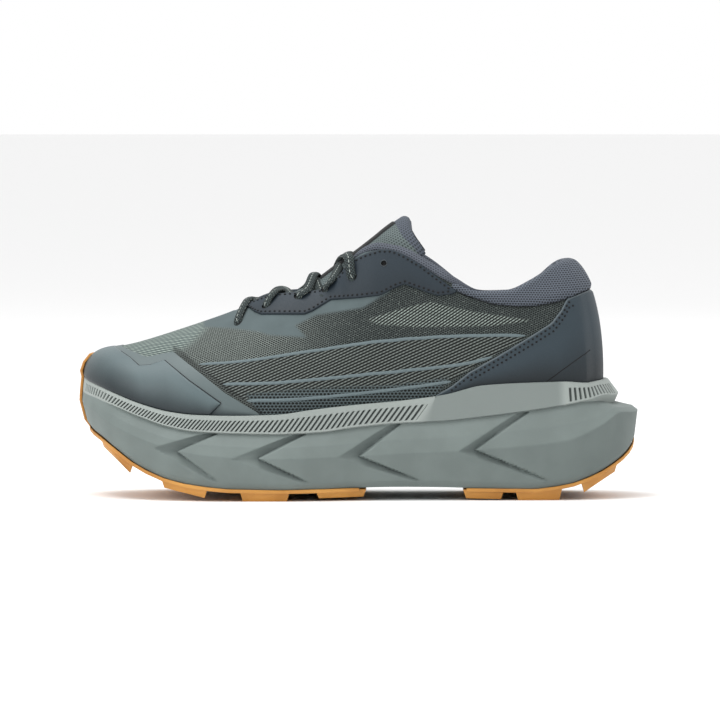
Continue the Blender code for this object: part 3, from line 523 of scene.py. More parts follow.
class Paint:
    """One material: makes its nodes and wires its shader."""

    def __init__(self, name: str, roughness: float, specular: float | None = None) -> None:
        """Starts a material.

        Args:
            name: Name of the finish.
            roughness: Roughness where nothing else sets it.
            specular: Strength of the mirror reflection, or None for the shader's own.
        """
        self.material = bpy.data.materials.new(name)
        self.material.use_nodes = True
        self.tree = self.material.node_tree
        self.shader = self.tree.nodes["Principled BSDF"]
        self.shader.inputs["Roughness"].default_value = roughness
        if specular is not None:
            self.shader.inputs["Specular IOR Level"].default_value = specular

    def node(self, kind: str, settings: dict[str, object] | None = None,
             values: dict[int | str, object] | None = None) -> bpy.types.Node:
        """Makes a node, sets it up and fills its sockets.

        Args:
            kind: Blender's name of the node type.
            settings: The node's own properties.
            values: Socket name or number to a constant, a Term or an output socket.

        Returns:
            The node.
        """
        node = self.tree.nodes.new(kind)
        for name, value in (settings or {}).items():
            setattr(node, name, value)
        for socket, value in (values or {}).items():
            self.feed(node.inputs[socket], value)
        return node

    def feed(self, socket: bpy.types.NodeSocket, value: object) -> None:
        """Links a Term or an output to a socket, or sets the socket's constant."""
        if isinstance(value, Term):
            value = value.socket
        if isinstance(value, bpy.types.NodeSocket):
            self.tree.links.new(value, socket)
        elif isinstance(value, tuple) and len(value) == 3 and socket.type == "RGBA":
            socket.default_value = (*value, 1.0)
        else:
            socket.default_value = value

    def math(self, operation: str, *terms: Term | float) -> Term:
        """A Math node as a number."""
        node = self.node("ShaderNodeMath", {"operation": operation}, dict(enumerate(terms)))
        return Term(self, node.outputs[0])

    def mark(self, name: str) -> Term:
        """A number that the piece holds at each of its points."""
        return Term(self, self.node("ShaderNodeAttribute", {"attribute_name": name}).outputs["Fac"])

    def place(self, name: str = "") -> tuple[bpy.types.NodeSocket, Term, Term, Term]:
        """Coordinates on the object, or from a vector that the piece holds.

        Returns:
            The vector socket and its three numbers.
        """
        if name:
            vector = self.node("ShaderNodeAttribute", {"attribute_name": name}).outputs["Vector"]
        else:
            vector = self.node("ShaderNodeTexCoord").outputs["Object"]
        parts = self.node("ShaderNodeSeparateXYZ", {}, {0: vector}).outputs
        return vector, Term(self, parts[0]), Term(self, parts[1]), Term(self, parts[2])

    def noise(self, vector: bpy.types.NodeSocket, scale: float, detail: float = 2.0) -> Term:
        """Noise between 0 and 1."""
        node = self.node("ShaderNodeTexNoise", {}, {"Vector": vector, "Scale": scale, "Detail": detail})
        return Term(self, node.outputs["Fac"])

    def mix(self, mask: Term | float, low: object, high: object) -> bpy.types.NodeSocket:
        """A colour between low, at mask 0, and high, at mask 1."""
        node = self.node("ShaderNodeMix", {"data_type": "RGBA"}, {0: mask, 6: low, 7: high})
        return node.outputs[2]

    def finish(self, colour: object, roughness: Term | float | None = None,
               relief: Term | None = None, depth: float = 0.0002) -> bpy.types.Material:
        """Wires the shader.

        Args:
            colour: Colour socket or constant.
            roughness: Roughness where it varies.
            relief: Height of the surface's fine relief, from 0 to 1.
            depth: Metres that a relief of 1 stands for.

        Returns:
            The material.
        """
        self.feed(self.shader.inputs["Base Color"], colour)
        if roughness is not None:
            self.feed(self.shader.inputs["Roughness"], roughness)
        if relief is not None:
            bump = self.node("ShaderNodeBump", {}, {"Strength": 1.0, "Distance": depth, "Height": relief})
            self.feed(self.shader.inputs["Normal"], bump.outputs["Normal"])
        return self.material


@dataclass(frozen=True)
class FoamFinish:
    """Moulded foam: fine grain and a faint mottle, with painted shade in its grooves and under the heel's
    ridge.
    """

    name: str = "foam"
    colour: Colour = srgb(122, 133, 130)
    # colour of the foam in painted shade
    groove: Colour = srgb(62, 72, 71)
    grain: float = 1900.0

    def material(self) -> bpy.types.Material:
        """Makes the material."""
        paint = Paint(self.name, 0.62, specular=0.35)
        vector, _, _, _ = paint.place()
        grain = paint.noise(vector, self.grain, 1.0)
        mottle = paint.noise(vector, 60.0, 3.0)
        base = paint.mix(mottle.step(0.3, 0.7), tinted(self.colour, 0.93), tinted(self.colour, 1.05))
        # painted shade: the groove mark darkens the foam towards its shaded colour
        colour = paint.mix(paint.mark("groove") * 0.85, base, self.groove)
        return paint.finish(colour, 0.56 + grain * 0.14, grain, 0.00006)


@dataclass(frozen=True)
class BandFinish:
    """The ribbed band round the rim: ribs with a painted highlight, and painted shade in the slots between
    them.
    """

    name: str = "foam_band"
    plate: Colour = srgb(134, 143, 140)
    # the ribs' faces lightened by a painted highlight
    rib: Colour = srgb(164, 172, 168)
    # painted shade in the slots
    slot: Colour = srgb(78, 86, 84)

    def material(self) -> bpy.types.Material:
        """Makes the material."""
        paint = Paint(self.name, 0.6, specular=0.35)
        vector, _, _, _ = paint.place()
        grain = paint.noise(vector, 1900.0, 1.0)
        ribs = paint.mix(paint.mark("groove"), self.rib, self.slot)
        colour = paint.mix(paint.mark("ribbed"), self.plate, ribs)
        return paint.finish(colour, 0.55 + grain * 0.15, grain, 0.00005)


@dataclass(frozen=True)
class GumFinish:
    """Gum rubber: amber, a little uneven, with fine grain."""

    name: str = "gum_rubber"
    colour: Colour = srgb(228, 164, 76)
    dark: Colour = srgb(188, 124, 45)

    def material(self) -> bpy.types.Material:
        """Makes the material."""
        paint = Paint(self.name, 0.5)
        vector, _, _, _ = paint.place()
        cloud = paint.noise(vector, 35.0, 3.0)
        grain = paint.noise(vector, 1500.0, 1.0)
        colour = paint.mix(cloud.step(0.25, 0.8), self.colour, self.dark)
        return paint.finish(colour, 0.42 + cloud * 0.2, grain, 0.00005)


@dataclass(frozen=True)
class FilmFinish:
    """Welded film over the mesh, with painted shade that darkens it from its top down to its foot."""

    name: str
    colour: Colour
    # the film's colour in painted shade at its foot
    foot: Colour
    fade: Pair = (0.0, 1.0)
    roughness: float = 0.5

    def material(self) -> bpy.types.Material:
        """Makes the material."""
        paint = Paint(self.name, self.roughness, specular=0.4)
        vector, _, _, _ = paint.place()
        cloud = paint.noise(vector, 45.0, 3.0)
        grain = paint.noise(vector, 1400.0, 2.0)
        # painted shade: blends from the foot colour at the low outline up to the film's colour
        rise = paint.mark("rise") + (cloud - 0.5) * 0.18
        colour = paint.mix(rise.step(*self.fade), self.foot, self.colour)
        return paint.finish(colour, self.roughness + (grain - 0.5) * 0.2, grain, 0.00006)


@dataclass(frozen=True)
class MeshFinish:
    """Engineered mesh of the upper: zones of different knit, printed film and lining."""

    name: str = "upper_mesh"
    hole: Colour = srgb(12, 16, 16)
    thread: Colour = srgb(68, 78, 77)
    light: Colour = srgb(158, 168, 162)
    pale: Colour = srgb(176, 190, 182)
    under_knit: Colour = srgb(72, 85, 84)
    film: Colour = srgb(96, 109, 111)
    lining: Colour = srgb(113, 121, 133)
    weave: float = 0.00140
    slant: float = 24.0

    def lattice(self, x: Term, s: Term, pitch: float, size: float) -> Term:
        """Round holes in rows, each row moved by half a hole: 1 in a hole."""
        row = s / (pitch * 0.8)
        column = x / pitch + row.floor() * 0.5
        across, up = column.fraction() - 0.5, row.fraction() - 0.5
        far = (across * across + up * up).apply("SQRT")
        return 1 - far.step(size * 0.6, size * 1.25)

    @staticmethod
    def turned(x: Term, s: Term, degrees: float) -> tuple[Term, Term]:
        """Coordinates along and across a direction that rises by an angle."""
        cos, sin = math.cos(math.radians(degrees)), math.sin(math.radians(degrees))
        return x * cos + s * sin, s * cos - x * sin

    def stripes(self, x: Term, s: Term, degrees: float, pitch: float, dash: float) -> Term:
        """Slanting threads, broken into dashes: 1 on a thread."""
        run, across = self.turned(x, s, degrees)
        run, across = run / dash, across / pitch
        shift = run + across.floor() * 0.5
        line = 1 - abs(across.fraction() - 0.5).step(0.10, 0.30)
        return line * (0.45 + shift.wave() * 0.55)

    def material(self) -> bpy.types.Material:
        """Makes the material."""
        paint = Paint(self.name, 0.85, specular=0.3)
        vector, x, s, _ = paint.place("weave")
        run, across = self.turned(x, s, self.slant)
        holes = self.lattice(run, across, self.weave, 0.45)
        fleck = paint.noise(vector, 900.0, 1.0).step(0.52, 0.75)
        cloud = paint.noise(vector, 70.0, 2.0)
        front = 1 - x.step(-0.055, 0.0)
        base = paint.mix(fleck * 0.5 + cloud * 0.15 + front * 0.56, self.thread, self.light)
        colour = paint.mix(holes * 0.95, base, self.hole)
        relief = 1 - holes

        line = self.stripes(x, s, self.slant, 0.0015, 0.0021) * 0.72
        zone = paint.mark("stripe").step(-0.4, 0.4)
        colour = paint.mix(zone, colour, paint.mix(line, self.hole, self.light))
        relief = relief * (1 - zone) + line * zone

        line = self.stripes(x, s, 34.0, 0.00136, 0.0021)
        zone = paint.mark("steep").step(-0.6, 0.6)
        colour = paint.mix(zone, colour, paint.mix(line, self.hole, self.pale))

        grid = self.lattice(x, s, 0.0020, 0.43)
        zone = paint.mark("open_knit").step(-1.5, 1.5)
        colour = paint.mix(zone, colour, paint.mix(grid, self.film, self.hole))

        bars = self.stripes(x, s, -self.slant, 0.0017, 0.0034)
        zone = paint.mark("knit").step(-3.0, 3.0)
        colour = paint.mix(zone, colour, paint.mix(bars, self.under_knit, self.pale))
        relief = relief * (1 - zone) + bars * zone

        zone = paint.mark("film").step(-1.2, 1.2)
        tint = paint.mix(cloud.step(0.3, 0.7), tinted(self.film, 0.88), self.film)
        colour = paint.mix(zone, colour, tint)
        relief = relief * (1 - zone) + 0.6 * zone

        colour = paint.mix(paint.mark("strip").step(-0.6, 1.0) * 0.5, colour, self.hole)
        pores = self.lattice(x, s, 0.0015, 0.42)
        zone = paint.mark("lining").step(-0.3, 0.3)
        colour = paint.mix(zone, colour, paint.mix(pores * 0.8, self.lining, self.hole))
        relief = relief * (1 - zone) + (1 - pores) * zone
        # painted shade in the collar's seam
        colour = paint.mix(paint.mark("groove"), colour, self.hole)
        return paint.finish(colour, None, relief, 0.00025)


@dataclass(frozen=True)
class KnitFinish:
    """A plain mesh in one colour with rows of small holes."""

    name: str
    colour: Colour
    hole: Colour
    pitch: float = 0.0019
    second: Colour | None = None

    def material(self) -> bpy.types.Material:
        """Makes the material."""
        paint = Paint(self.name, 0.88, specular=0.3)
        vector, x, s, _ = paint.place("weave")
        pores = MeshFinish().lattice(x, s, self.pitch, 0.34)
        cloud = paint.noise(vector, 90.0, 2.0)
        base = paint.mix(cloud.step(0.3, 0.7), tinted(self.colour, 0.9), tinted(self.colour, 1.06))
        if self.second:
            base = paint.mix(paint.mark("pad").step(-0.3, 0.3), base, self.second)
        colour = paint.mix(pores * 0.75, base, self.hole)
        return paint.finish(colour, None, 1 - pores, 0.00025)


@dataclass(frozen=True)
class LaceFinish:
    """Woven lace: dark braid with two broken light threads on each face."""

    name: str = "lace"
    colour: Colour = srgb(80, 93, 93)
    dark: Colour = srgb(30, 37, 37)
    fleck: Colour = srgb(176, 184, 178)
    braid: float = 0.0016
    dash: float = 0.0026

    def material(self) -> bpy.types.Material:
        """Makes the material."""
        paint = Paint(self.name, 0.8, specular=0.3)
        _, run, turn, _ = paint.place("weave")
        braid = (run / self.braid + turn * 8.0).wave() * (run / self.braid - turn * 8.0).wave()
        base = paint.mix(braid.step(0.1, 0.6), self.dark, self.colour)
        rows = abs((turn * 4.0 + 0.5).fraction() - 0.5)
        dash = (run / self.dash).wave().step(0.3, 0.5)
        stripe = (1 - rows.step(0.03, 0.08)) * dash
        colour = paint.mix(stripe, base, self.fleck)
        return paint.finish(colour, None, braid + stripe * 0.4, 0.00025)


@dataclass(frozen=True)
class PlainFinish:
    """Thread, seam or binding in one colour with a fine grain."""

    name: str
    colour: Colour
    roughness: float = 0.7
    grain: float = 2500.0

    def material(self) -> bpy.types.Material:
        """Makes the material."""
        paint = Paint(self.name, self.roughness)
        vector, _, _, _ = paint.place()
        grain = paint.noise(vector, self.grain, 1.0)
        colour = paint.mix(grain.step(0.3, 0.7), tinted(self.colour, 0.8), self.colour)
        return paint.finish(colour, None, grain, 0.0001)


# Pieces


WELD = 1e-6               # distance under which points of a piece are one


def laid_grid(columns: int, rows: int,
              place: Callable[[Array, Array], Laid]) -> BMesh:
    """A grid of faces, each of its points moved to where a function says.

    Args:
        columns: Faces in the first direction.
        rows: Faces in the second direction.
        place: Takes column and row numbers of all points; returns their places and their marks.

    Returns:
        The mesh, facing to where the first direction turned into the second points.
    """
    bm = bmesh.new()
    bm.loops.layers.uv.new("UVMap")
    bmesh.ops.create_grid(bm, x_segments=columns, y_segments=rows, size=0.5, calc_uvs=True)
    flat = np.array([vert.co for vert in bm.verts])
    points, marks = place(np.rint((flat[:, 0] + 0.5) * columns).astype(int),
                          np.rint((flat[:, 1] + 0.5) * rows).astype(int))
    for vert, point in zip(bm.verts, points.tolist()):
        vert.co = point
    for name, values in marks.items():
        layers = bm.verts.layers.float if values.ndim == 1 else bm.verts.layers.float_vector
        layer = layers.new(name)
        for vert, value in zip(bm.verts, values.tolist()):
            vert[layer] = value
    return bm


def add_mesh(bm: BMesh, other: BMesh) -> None:
    """Moves all that another mesh holds into bm."""
    mesh = bpy.data.meshes.new("part")
    other.to_mesh(mesh)
    bm.from_mesh(mesh)
    bpy.data.meshes.remove(mesh)
    other.free()


def make_piece(name: str, bm: BMesh, material: bpy.types.Material,
               replaces: Sequence[str] = (), crease: float = 45.0) -> bpy.types.Object:
    """Closes a mesh, makes it an object and puts it on the shoe's body.

    Args:
        name: Name of the piece.
        bm: Its mesh, which is freed.
        material: Its finish.
        replaces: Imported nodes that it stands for.
        crease: Degrees from which an edge stays sharp.

    Returns:
        The object.
    """
    bmesh.ops.remove_doubles(bm, verts=bm.verts, dist=WELD)
    bmesh.ops.dissolve_degenerate(bm, dist=WELD, edges=bm.edges)
    bmesh.ops.delete(bm, geom=[edge for edge in bm.edges if edge.is_wire], context="EDGES")
    bmesh.ops.recalc_face_normals(bm, faces=bm.faces)
    if bm.calc_volume(signed=True) < 0:
        bmesh.ops.reverse_faces(bm, faces=bm.faces)
    mesh = bpy.data.meshes.new(name)
    bm.to_mesh(mesh)
    bm.free()
    mesh.materials.append(material)
    mesh.shade_smooth()
    mesh.set_sharp_from_angle(angle=math.radians(crease))
    piece = bpy.data.objects.new(name, mesh)
    bpy.context.scene.collection.objects.link(piece)
    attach(piece, "root")
    if replaces:
        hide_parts(*replaces)
    open_edges = sum(1 for count in edge_uses(mesh) if count != 2)
    log.info("%s: %d faces, %d open edges", name, len(mesh.polygons), open_edges)
    return piece


def cut_out(piece: bpy.types.Object, tools: BMesh) -> None:
    """Cuts closed shapes out of a closed piece."""
    mesh = bpy.data.meshes.new("tools")
    tools.to_mesh(mesh)
    cutter = bpy.data.objects.new("tools", mesh)
    bpy.context.scene.collection.objects.link(cutter)
    cut = piece.modifiers.new("cut", "BOOLEAN")
    cut.operation, cut.solver, cut.object = "DIFFERENCE", "EXACT", cutter
    bpy.context.view_layer.update()
    result = bpy.data.meshes.new_from_object(piece.evaluated_get(bpy.context.evaluated_depsgraph_get()))
    piece.modifiers.remove(cut)
    bpy.data.objects.remove(cutter)
    bpy.data.meshes.remove(mesh)
    old, piece.data = piece.data, result
    bpy.data.meshes.remove(old)
    log.info("%s: %d faces after cutting", piece.name, len(result.polygons))


def edge_uses(mesh: bpy.types.Mesh) -> Array:
    """How many faces meet at each edge."""
    loops = np.empty(len(mesh.loops), int)
    mesh.loops.foreach_get("edge_index", loops)
    return np.bincount(loops, minlength=len(mesh.edges))


ALL_LINING = 9.0          # mark of points that are lining whatever their place


@dataclass
class Upper:
    """The mesh upper: wall, lining, padded collar and the lines knitted into it."""

    form: Form
    half_columns: int = 330
    outer_rows: int = 74
    cup_rows: int = 4
    inner_rows: int = 26
    climb_steps: int = 40
    nearest_spots: int = 6
    inner_crowding: float = 1.7
    collar_bulge: float = 0.0017
    collar_front: float = 0.050
    seam_start: float = 0.052
    seam_depth: float = 0.0009
    seam: Points = ((45.0, 116.0), (52.7, 112.0), (59.6, 109.0), (72.4, 105.1), (84.2, 103.9), (93.5, 104.1),
                    (106.0, 106.3), (114.2, 109.0), (123.5, 112.8), (131.0, 114.0))
    film: Points = ((-83.0, 93.3), (-69.3, 92.5), (-53.7, 90.6), (-47.0, 88.7), (-28.0, 87.5), (-33.7, 93.8),
                    (-22.7, 99.5), (2.1, 103.3), (16.5, 111.9), (16.5, 150.0), (-86.0, 150.0))
    knit: Points = ((-140.0, 79.0), (-126.0, 81.0), (-113.7, 76.0), (-99.2, 78.8), (-90.0, 84.0),
                    (-82.0, 92.0), (-84.0, 120.0), (-140.0, 120.0))
    stripe: Points = ((-68.0, 57.0), (-60.0, 54.0), (-30.0, 55.2), (5.0, 58.8), (34.0, 62.4), (50.0, 65.0),
                      (66.0, 74.5), (90.0, 88.0), (70.0, 88.4), (40.0, 87.4), (5.0, 84.3), (-30.0, 79.3),
                      (-60.0, 74.8), (-86.0, 73.0))
    steep: Points = ((4.0, 97.0), (20.0, 102.0), (38.0, 106.5), (60.0, 101.5), (93.0, 96.5), (70.0, 93.5),
                     (30.0, 93.0), (10.0, 94.5))
    strip: Points = ((-99.0, 84.0), (-84.8, 72.5), (-69.0, 61.0), (-50.0, 47.0), (-53.7, 45.0), (-72.0, 57.5),
                     (-86.0, 68.5), (-100.0, 79.5))
    open_knit: Points = ((-60.0, 57.0), (-30.0, 60.0), (20.0, 62.0), (48.0, 66.0), (40.0, 54.0), (0.0, 48.0),
                         (-52.0, 44.0))

    def pad_depth(self, points: Array) -> Array:
        """Millimetres over the collar's seam, negative under it and in front of the collar."""
        seam = line_height(self.seam, points[:, 0])
        front = (points[:, 0] - self.collar_front) / MM
        return np.minimum((seen_height(points) - seam) / MM, front)

    def groove(self, x: Array, depth: Array, width: float) -> Array:
        """1 in the middle of the collar's seam, 0 away from it: how deep its groove is and how dark its
        painted shade.
        """
        return np.exp(-((depth - 0.1) / width)**2) * (x > self.seam_start)

    def relief(self, turn: Array, points: Array) -> Array:
        """How far the collar's padding bulges out over the wall, with a groove at its seam."""
        depth = self.pad_depth(points)
        room = (self.form.top(turn)[:, 2] - points[:, 2]) / MM
        bulge = smooth(0.0, 3.5, depth) * smooth(-1.0, 3.0, room)
        return self.collar_bulge * bulge - self.seam_depth * self.groove(points[:, 0], depth, 0.5)

    def outer(self, turn: Array, w: Array) -> tuple[Array, Array]:
        """A point of the outer face and the direction out of it."""
        points, out = self.form.wall(turn, w), self.form.out_of_wall(turn, w)
        return points + out * self.relief(turn, points)[:, None], out

    def thickness(self, points: Array) -> Array:
        """Wall with lining, thicker by the padding at the collar."""
        share = points[:, 0] / self.form.length + 0.5
        seam = self.form.height * (0.70 + 0.04 * smooth(0.80, 0.92, share))
        pad = smooth(seam - 0.006, seam + 0.006, points[:, 2]) * smooth(0.57, 0.65, share)
        return self.form.upper_wall + self.form.collar_pad * pad

    def rounding(self, turn: Array, points: Array, thick: Array) -> Array:
        """How far in the outer face lies where it rolls over into the lining."""
        top, _ = self.outer(turn, np.ones_like(turn))
        away = np.linalg.norm(top - points, axis=1)
        half = thick / 2
        inset = half - np.sqrt(np.maximum(half**2 - np.maximum(half - away, 0.0)**2, 0.0))
        return np.where(self.form.along(turn) > self.form.throat_start, inset, 0.0)

    def climbs(self, turns: Array) -> Array:
        """Length of each column of the wall up to evenly spaced shares, from the rim's height on."""
        count = self.climb_steps + 1
        shares = np.tile(np.linspace(0.0, 1.0, count), len(turns))
        points = self.form.wall(np.repeat(turns, count), shares).reshape(len(turns), count, 3)
        steps = np.linalg.norm(np.diff(points, axis=1), axis=2)
        return np.hstack([points[:, :1, 2], points[:, :1, 2] + np.cumsum(steps, axis=1)])

    def marks(self, points: Array, rise: Array, inner: bool) -> dict[str, Array]:
        """What the finish reads: zones in millimetres and the run of the threads."""
        x, z = points[:, 0], seen_height(points)
        depth = self.pad_depth(points)
        names = ("film", "knit", "stripe", "steep", "strip", "open_knit")
        zones = {name: signed_distance(getattr(self, name), x, z) for name in names}
        zones["lining"] = np.full(len(x), ALL_LINING) if inner else depth
        # painted shade in the collar's seam
        zones["groove"] = np.zeros(len(x)) if inner else self.groove(x, depth, 0.42) * 0.95
        zones["weave"] = np.stack([x, rise, np.zeros(len(x))], axis=-1)
        return zones

    def skin(self, inner: bool) -> BMesh:
        """One face of the wall, from the cup's floor to the top line."""
        turns = self.form.even_turns(self.half_columns)
        rows = self.inner_rows if inner else self.outer_rows
        count = self.cup_rows + rows + int(inner)
        climbs = self.climbs(turns)

        def place(i: Array, j: Array) -> Laid:
            """Places the points of a face."""
            turn = turns[i]
            level = np.clip(j - int(inner), 0, None)
            in_cup = level < self.cup_rows
            share = np.where(in_cup, level / self.cup_rows, 1.0)
            w = np.clip((level - self.cup_rows) / rows, 0.0, 1.0)
            w = 1.0 - (1.0 - w)**(self.inner_crowding if inner else 1.0)
            low, out_low = self.form.last(turn, share), self.form.outward(turn)
            high, out_high = self.outer(turn, w)
            points = np.where(in_cup[:, None], low, high)
            out = np.where(in_cup[:, None], out_low, out_high)
            thick = self.thickness(points)
            inset = np.where(in_cup, 0.0, self.rounding(turn, high, thick))
            depth = thick - inset if inner else inset
            depth = np.where(inner & (j == 0), 0.0, depth)
            at = np.minimum((w * self.climb_steps).astype(int), self.climb_steps - 1)
            rise = climbs[i, at] + (climbs[i, at + 1] - climbs[i, at]) * (w * self.climb_steps - at)
            return points - out * depth[:, None], self.marks(points, rise, inner)

        bm = laid_grid(len(turns) - 1, count, place)
        if inner:
            bmesh.ops.reverse_faces(bm, faces=bm.faces)
        return bm

    def close_throat(self, bm: BMesh) -> None:
        """Closes the small gap at the front end of the throat."""
        bmesh.ops.remove_doubles(bm, verts=bm.verts, dist=2 * WELD)
        gaps = [edge for edge in bm.edges if edge.is_boundary]
        if gaps:
            bmesh.ops.holes_fill(bm, edges=gaps, sides=12)

    def build(self) -> None:
        """Makes the upper."""
        bm = self.skin(inner=False)
        add_mesh(bm, self.skin(inner=True))
        self.close_throat(bm)
        make_piece("upper_mesh", bm, MeshFinish().material(), ["upper"], crease=60.0)

    def locate(self, spots: Points, hand: float = -1.0) -> tuple[Array, Array]:
        """Turns and wall shares of spots seen from the side.

        Args:
            spots: Places in millimetres as the camera sees them.
            hand: -1 for the lateral side, 1 for the medial side.

        Returns:
            Turns and shares w, one for each spot.
        """
        grid = np.meshgrid(np.linspace(0.02, math.pi - 0.02, 400), np.linspace(0.0, 1.0, 121))
        t, w = (values.ravel() for values in grid)
        points = self.form.wall(t, w)
        seen = np.stack([points[:, 0], seen_height(points)], axis=-1)
        turn, share = [], []
        for goal in np.array(spots, float) * MM:
            nearest = np.argsort(np.linalg.norm(seen - goal, axis=1))[:self.nearest_spots]
            weight = 1.0 / (np.linalg.norm(seen[nearest] - goal, axis=1) + 1e-6)
            turn.append(np.average(t[nearest], weights=weight))
            share.append(np.average(w[nearest], weights=weight))
        turns = np.array(turn)
        return (turns if hand < 0 else FULL_TURN - turns), np.array(share)


EDGE_STEPS = np.array([0.0, 0.18, 0.4, 0.75, 1.3]) * MM     # rows close to an overlay's outlines
EDGE_ROWS = len(EDGE_STEPS) - 1
LINE_SHARES = np.linspace(0.0, 1.0, 25)


@dataclass
class Overlay:
    """A film or leather piece laid over the wall, between a low and a high outline."""

    upper: Upper
    name: str
    start: float
    stop: float
    low: Points = ()
    high: Points = ()
    thickness: float = 0.0010
    rounded: float = 0.0007
    columns: int = 300
    rows: int = 40
    sink: float = 0.0002
    backing: float = 0.0005
    thin_up: float = 0.0

    def __post_init__(self) -> None:
        """Works out where each column starts and ends."""
        form = self.upper.form
        self.turns = np.linspace(self.start, self.stop, self.columns + 1)
        fine = np.linspace(0.0, 1.0, 241)
        grid_t, grid_w = np.repeat(self.turns, len(fine)), np.tile(fine, len(self.turns))
        points = form.wall(grid_t, grid_w)
        height = seen_height(points).reshape(len(self.turns), -1)
        x = points[:, 0].reshape(len(self.turns), -1)
        low, high = np.zeros(len(self.turns)), np.ones(len(self.turns))
        self.w_low = self.crossing(height - line_height(self.low, x), fine) if self.low else low
        self.w_high = self.crossing(height - line_height(self.high, x), fine) if self.high else high
        self.w_high = np.maximum(self.w_high, self.w_low)
        self.crest = (self.w_high > 0.9995) & (form.along(self.turns) <= form.throat_start)
        count = len(LINE_SHARES)
        ws = self.w_low[:, None] + (self.w_high - self.w_low)[:, None] * LINE_SHARES[None]
        lines = form.wall(np.repeat(self.turns, count), ws.ravel()).reshape(len(self.turns), count, 3)
        self.lengths = np.array([run_length(line) for line in lines])

    @staticmethod
    def crossing(over: Array, fine: Array) -> Array:
        """The first share at which each column passes over an outline."""
        above = over >= 0
        first = np.where(above.any(axis=1), above.argmax(axis=1), len(fine) - 1)
        before = np.maximum(first - 1, 0)
        rows = np.arange(len(over))
        a, b = over[rows, before], over[rows, first]
        share = np.where((b > a) & (first > 0) & above.any(axis=1), -a / np.where(b > a, b - a, 1.0), 1.0)
        return fine[before] + (fine[first] - fine[before]) * np.clip(share, 0.0, 1.0)

    def distances(self, column: Array, row: Array) -> tuple[Array, Array]:
        """Distance of each point from the low outline, and from the nearer one."""
        total = self.lengths[column, -1]
        squeeze = np.minimum(1.0, total / (2.6 * EDGE_STEPS[-1]))
        low = EDGE_STEPS[np.clip(row, 0, EDGE_ROWS)] * squeeze
        high = total - EDGE_STEPS[np.clip(self.rows - row, 0, EDGE_ROWS)] * squeeze
        share = (row - EDGE_ROWS) / (self.rows - 2 * EDGE_ROWS)
        middle = EDGE_STEPS[-1] * squeeze + (total - 2 * EDGE_STEPS[-1] * squeeze) * share
        from_low = np.where(row <= EDGE_ROWS, low, np.where(row >= self.rows - EDGE_ROWS, high, middle))
        from_high = np.where(self.crest[column], 1.0, total - from_low)
        from_foot = from_low if self.low else np.maximum(from_low, 1.0)
        return from_low, np.minimum(from_foot, from_high)

    def shares(self, column: Array, from_low: Array) -> Array:
        """Wall shares at distances from the low outline."""
        result = np.empty(len(column))
        for c in np.unique(column):
            picked = column == c
            share = np.interp(from_low[picked], self.lengths[c], LINE_SHARES)
            result[picked] = self.w_low[c] + (self.w_high[c] - self.w_low[c]) * share
        return result

    def lift(self, near: Array) -> Array:
        """Height of the face over the wall at a distance from the nearer outline."""
        share = np.clip(near / self.rounded, 0.0, 1.0)
        return -self.sink + (self.thickness + self.sink) * quarter_round(share)

    def place(self, i: Array, j: Array) -> Laid:
        """Places the points of the sheet: its face, its back from the high outline down, its foot."""
        behind = (j > self.rows) & (j <= 2 * self.rows)
        row = np.where(j > self.rows, np.maximum(2 * self.rows - j, 0), j)
        from_low, near = self.distances(i, row)
        w = self.shares(i, from_low)
        points, out = self.upper.outer(self.turns[i], w)
        rise = from_low / np.maximum(self.lengths[i, -1], 1e-6)
        weave = np.stack([points[:, 0], from_low, np.zeros(len(w))], axis=-1)
        back = -self.sink - self.backing * np.clip(near / self.rounded, 0.0, 1.0)
        lift = np.where(behind, back, self.lift(near) * (1 - self.thin_up * smooth(0.45, 1.0, w)))
        crest = (self.crest[i] & (row == self.rows)).astype(float)
        return points + out * lift[:, None], {"rise": rise, "weave": weave, "crest": crest}

    def build(self, material: bpy.types.Material, slot: str,
              replaces: Sequence[str] = ()) -> bpy.types.Object:
        """Makes the piece, closed behind."""
        bm = laid_grid(self.columns, 2 * self.rows + 1, self.place)
        bmesh.ops.remove_doubles(bm, verts=bm.verts, dist=2 * WELD)
        crest = bm.verts.layers.float["crest"]
        walls = [face for face in bm.faces if all(vert[crest] > 0.5 for vert in face.verts)]
        bmesh.ops.delete(bm, geom=walls, context="FACES_ONLY")
        return make_piece(self.name, bm, material, replaces, crease=40.0)

    def border(self, high: bool, inset: float, start: float = 0.0, stop: float = 1.0) -> tuple[Array, Array]:
        """A line on the face at a distance inside one of its outlines.

        Args:
            high: Whether it follows the high outline.
            inset: Distance from it.
            start: Share of the columns at which the line starts.
            stop: Share of the columns at which it ends.

        Returns:
            Points on the face and directions out of it.
        """
        total = self.lengths[:, -1]
        span = np.arange(len(total)) / (len(total) - 1)
        columns = np.nonzero((total > 2 * inset) & (span >= start) & (span <= stop))[0]
        from_low = total[columns] - inset if high else np.full(len(columns), inset)
        points, out = self.upper.outer(self.turns[columns], self.shares(columns, from_low))
        return points + out * self.thickness, out


@dataclass
class StitchRow:
    """A seam of single stitches along a line."""

    pitch: float = 0.0027
    length: float = 0.0014
    width: float = 0.0012
    height: float = 0.00045
    look_ahead: float = 0.0005

    def sew(self, bm: BMesh, points: Array, out: Array) -> int:
        """Adds the stitches of one line.

        Args:
            bm: Mesh that holds the stitches.
            points: The line, close together.
            out: Direction out of the surface at each point.

        Returns:
            The number of stitches.
        """
        if len(points) < 3:
            return 0
        at = run_length(points)

        def read(place: float, values: Array) -> Vector:
            """A vector of the line at a distance from its start."""
            return Vector([float(np.interp(place, at, values[:, k])) for k in range(3)])

        count = int(at[-1] / self.pitch)
        for place in (np.arange(count) + 0.5) * self.pitch:
            here, up = read(place, points), read(place, out).normalized()
            ahead = read(place + self.look_ahead, points) - here
            run = ahead.normalized() if ahead.length > 1e-9 else Vector((1, 0, 0))
            across = up.cross(run).normalized()
            axes = Matrix((run * self.length / 2, across * self.width / 2, up * self.height))
            bmesh.ops.create_uvsphere(bm, u_segments=8, v_segments=5, radius=1.0,
                                      matrix=Matrix.Translation(here) @ axes.transposed().to_4x4())
        return count


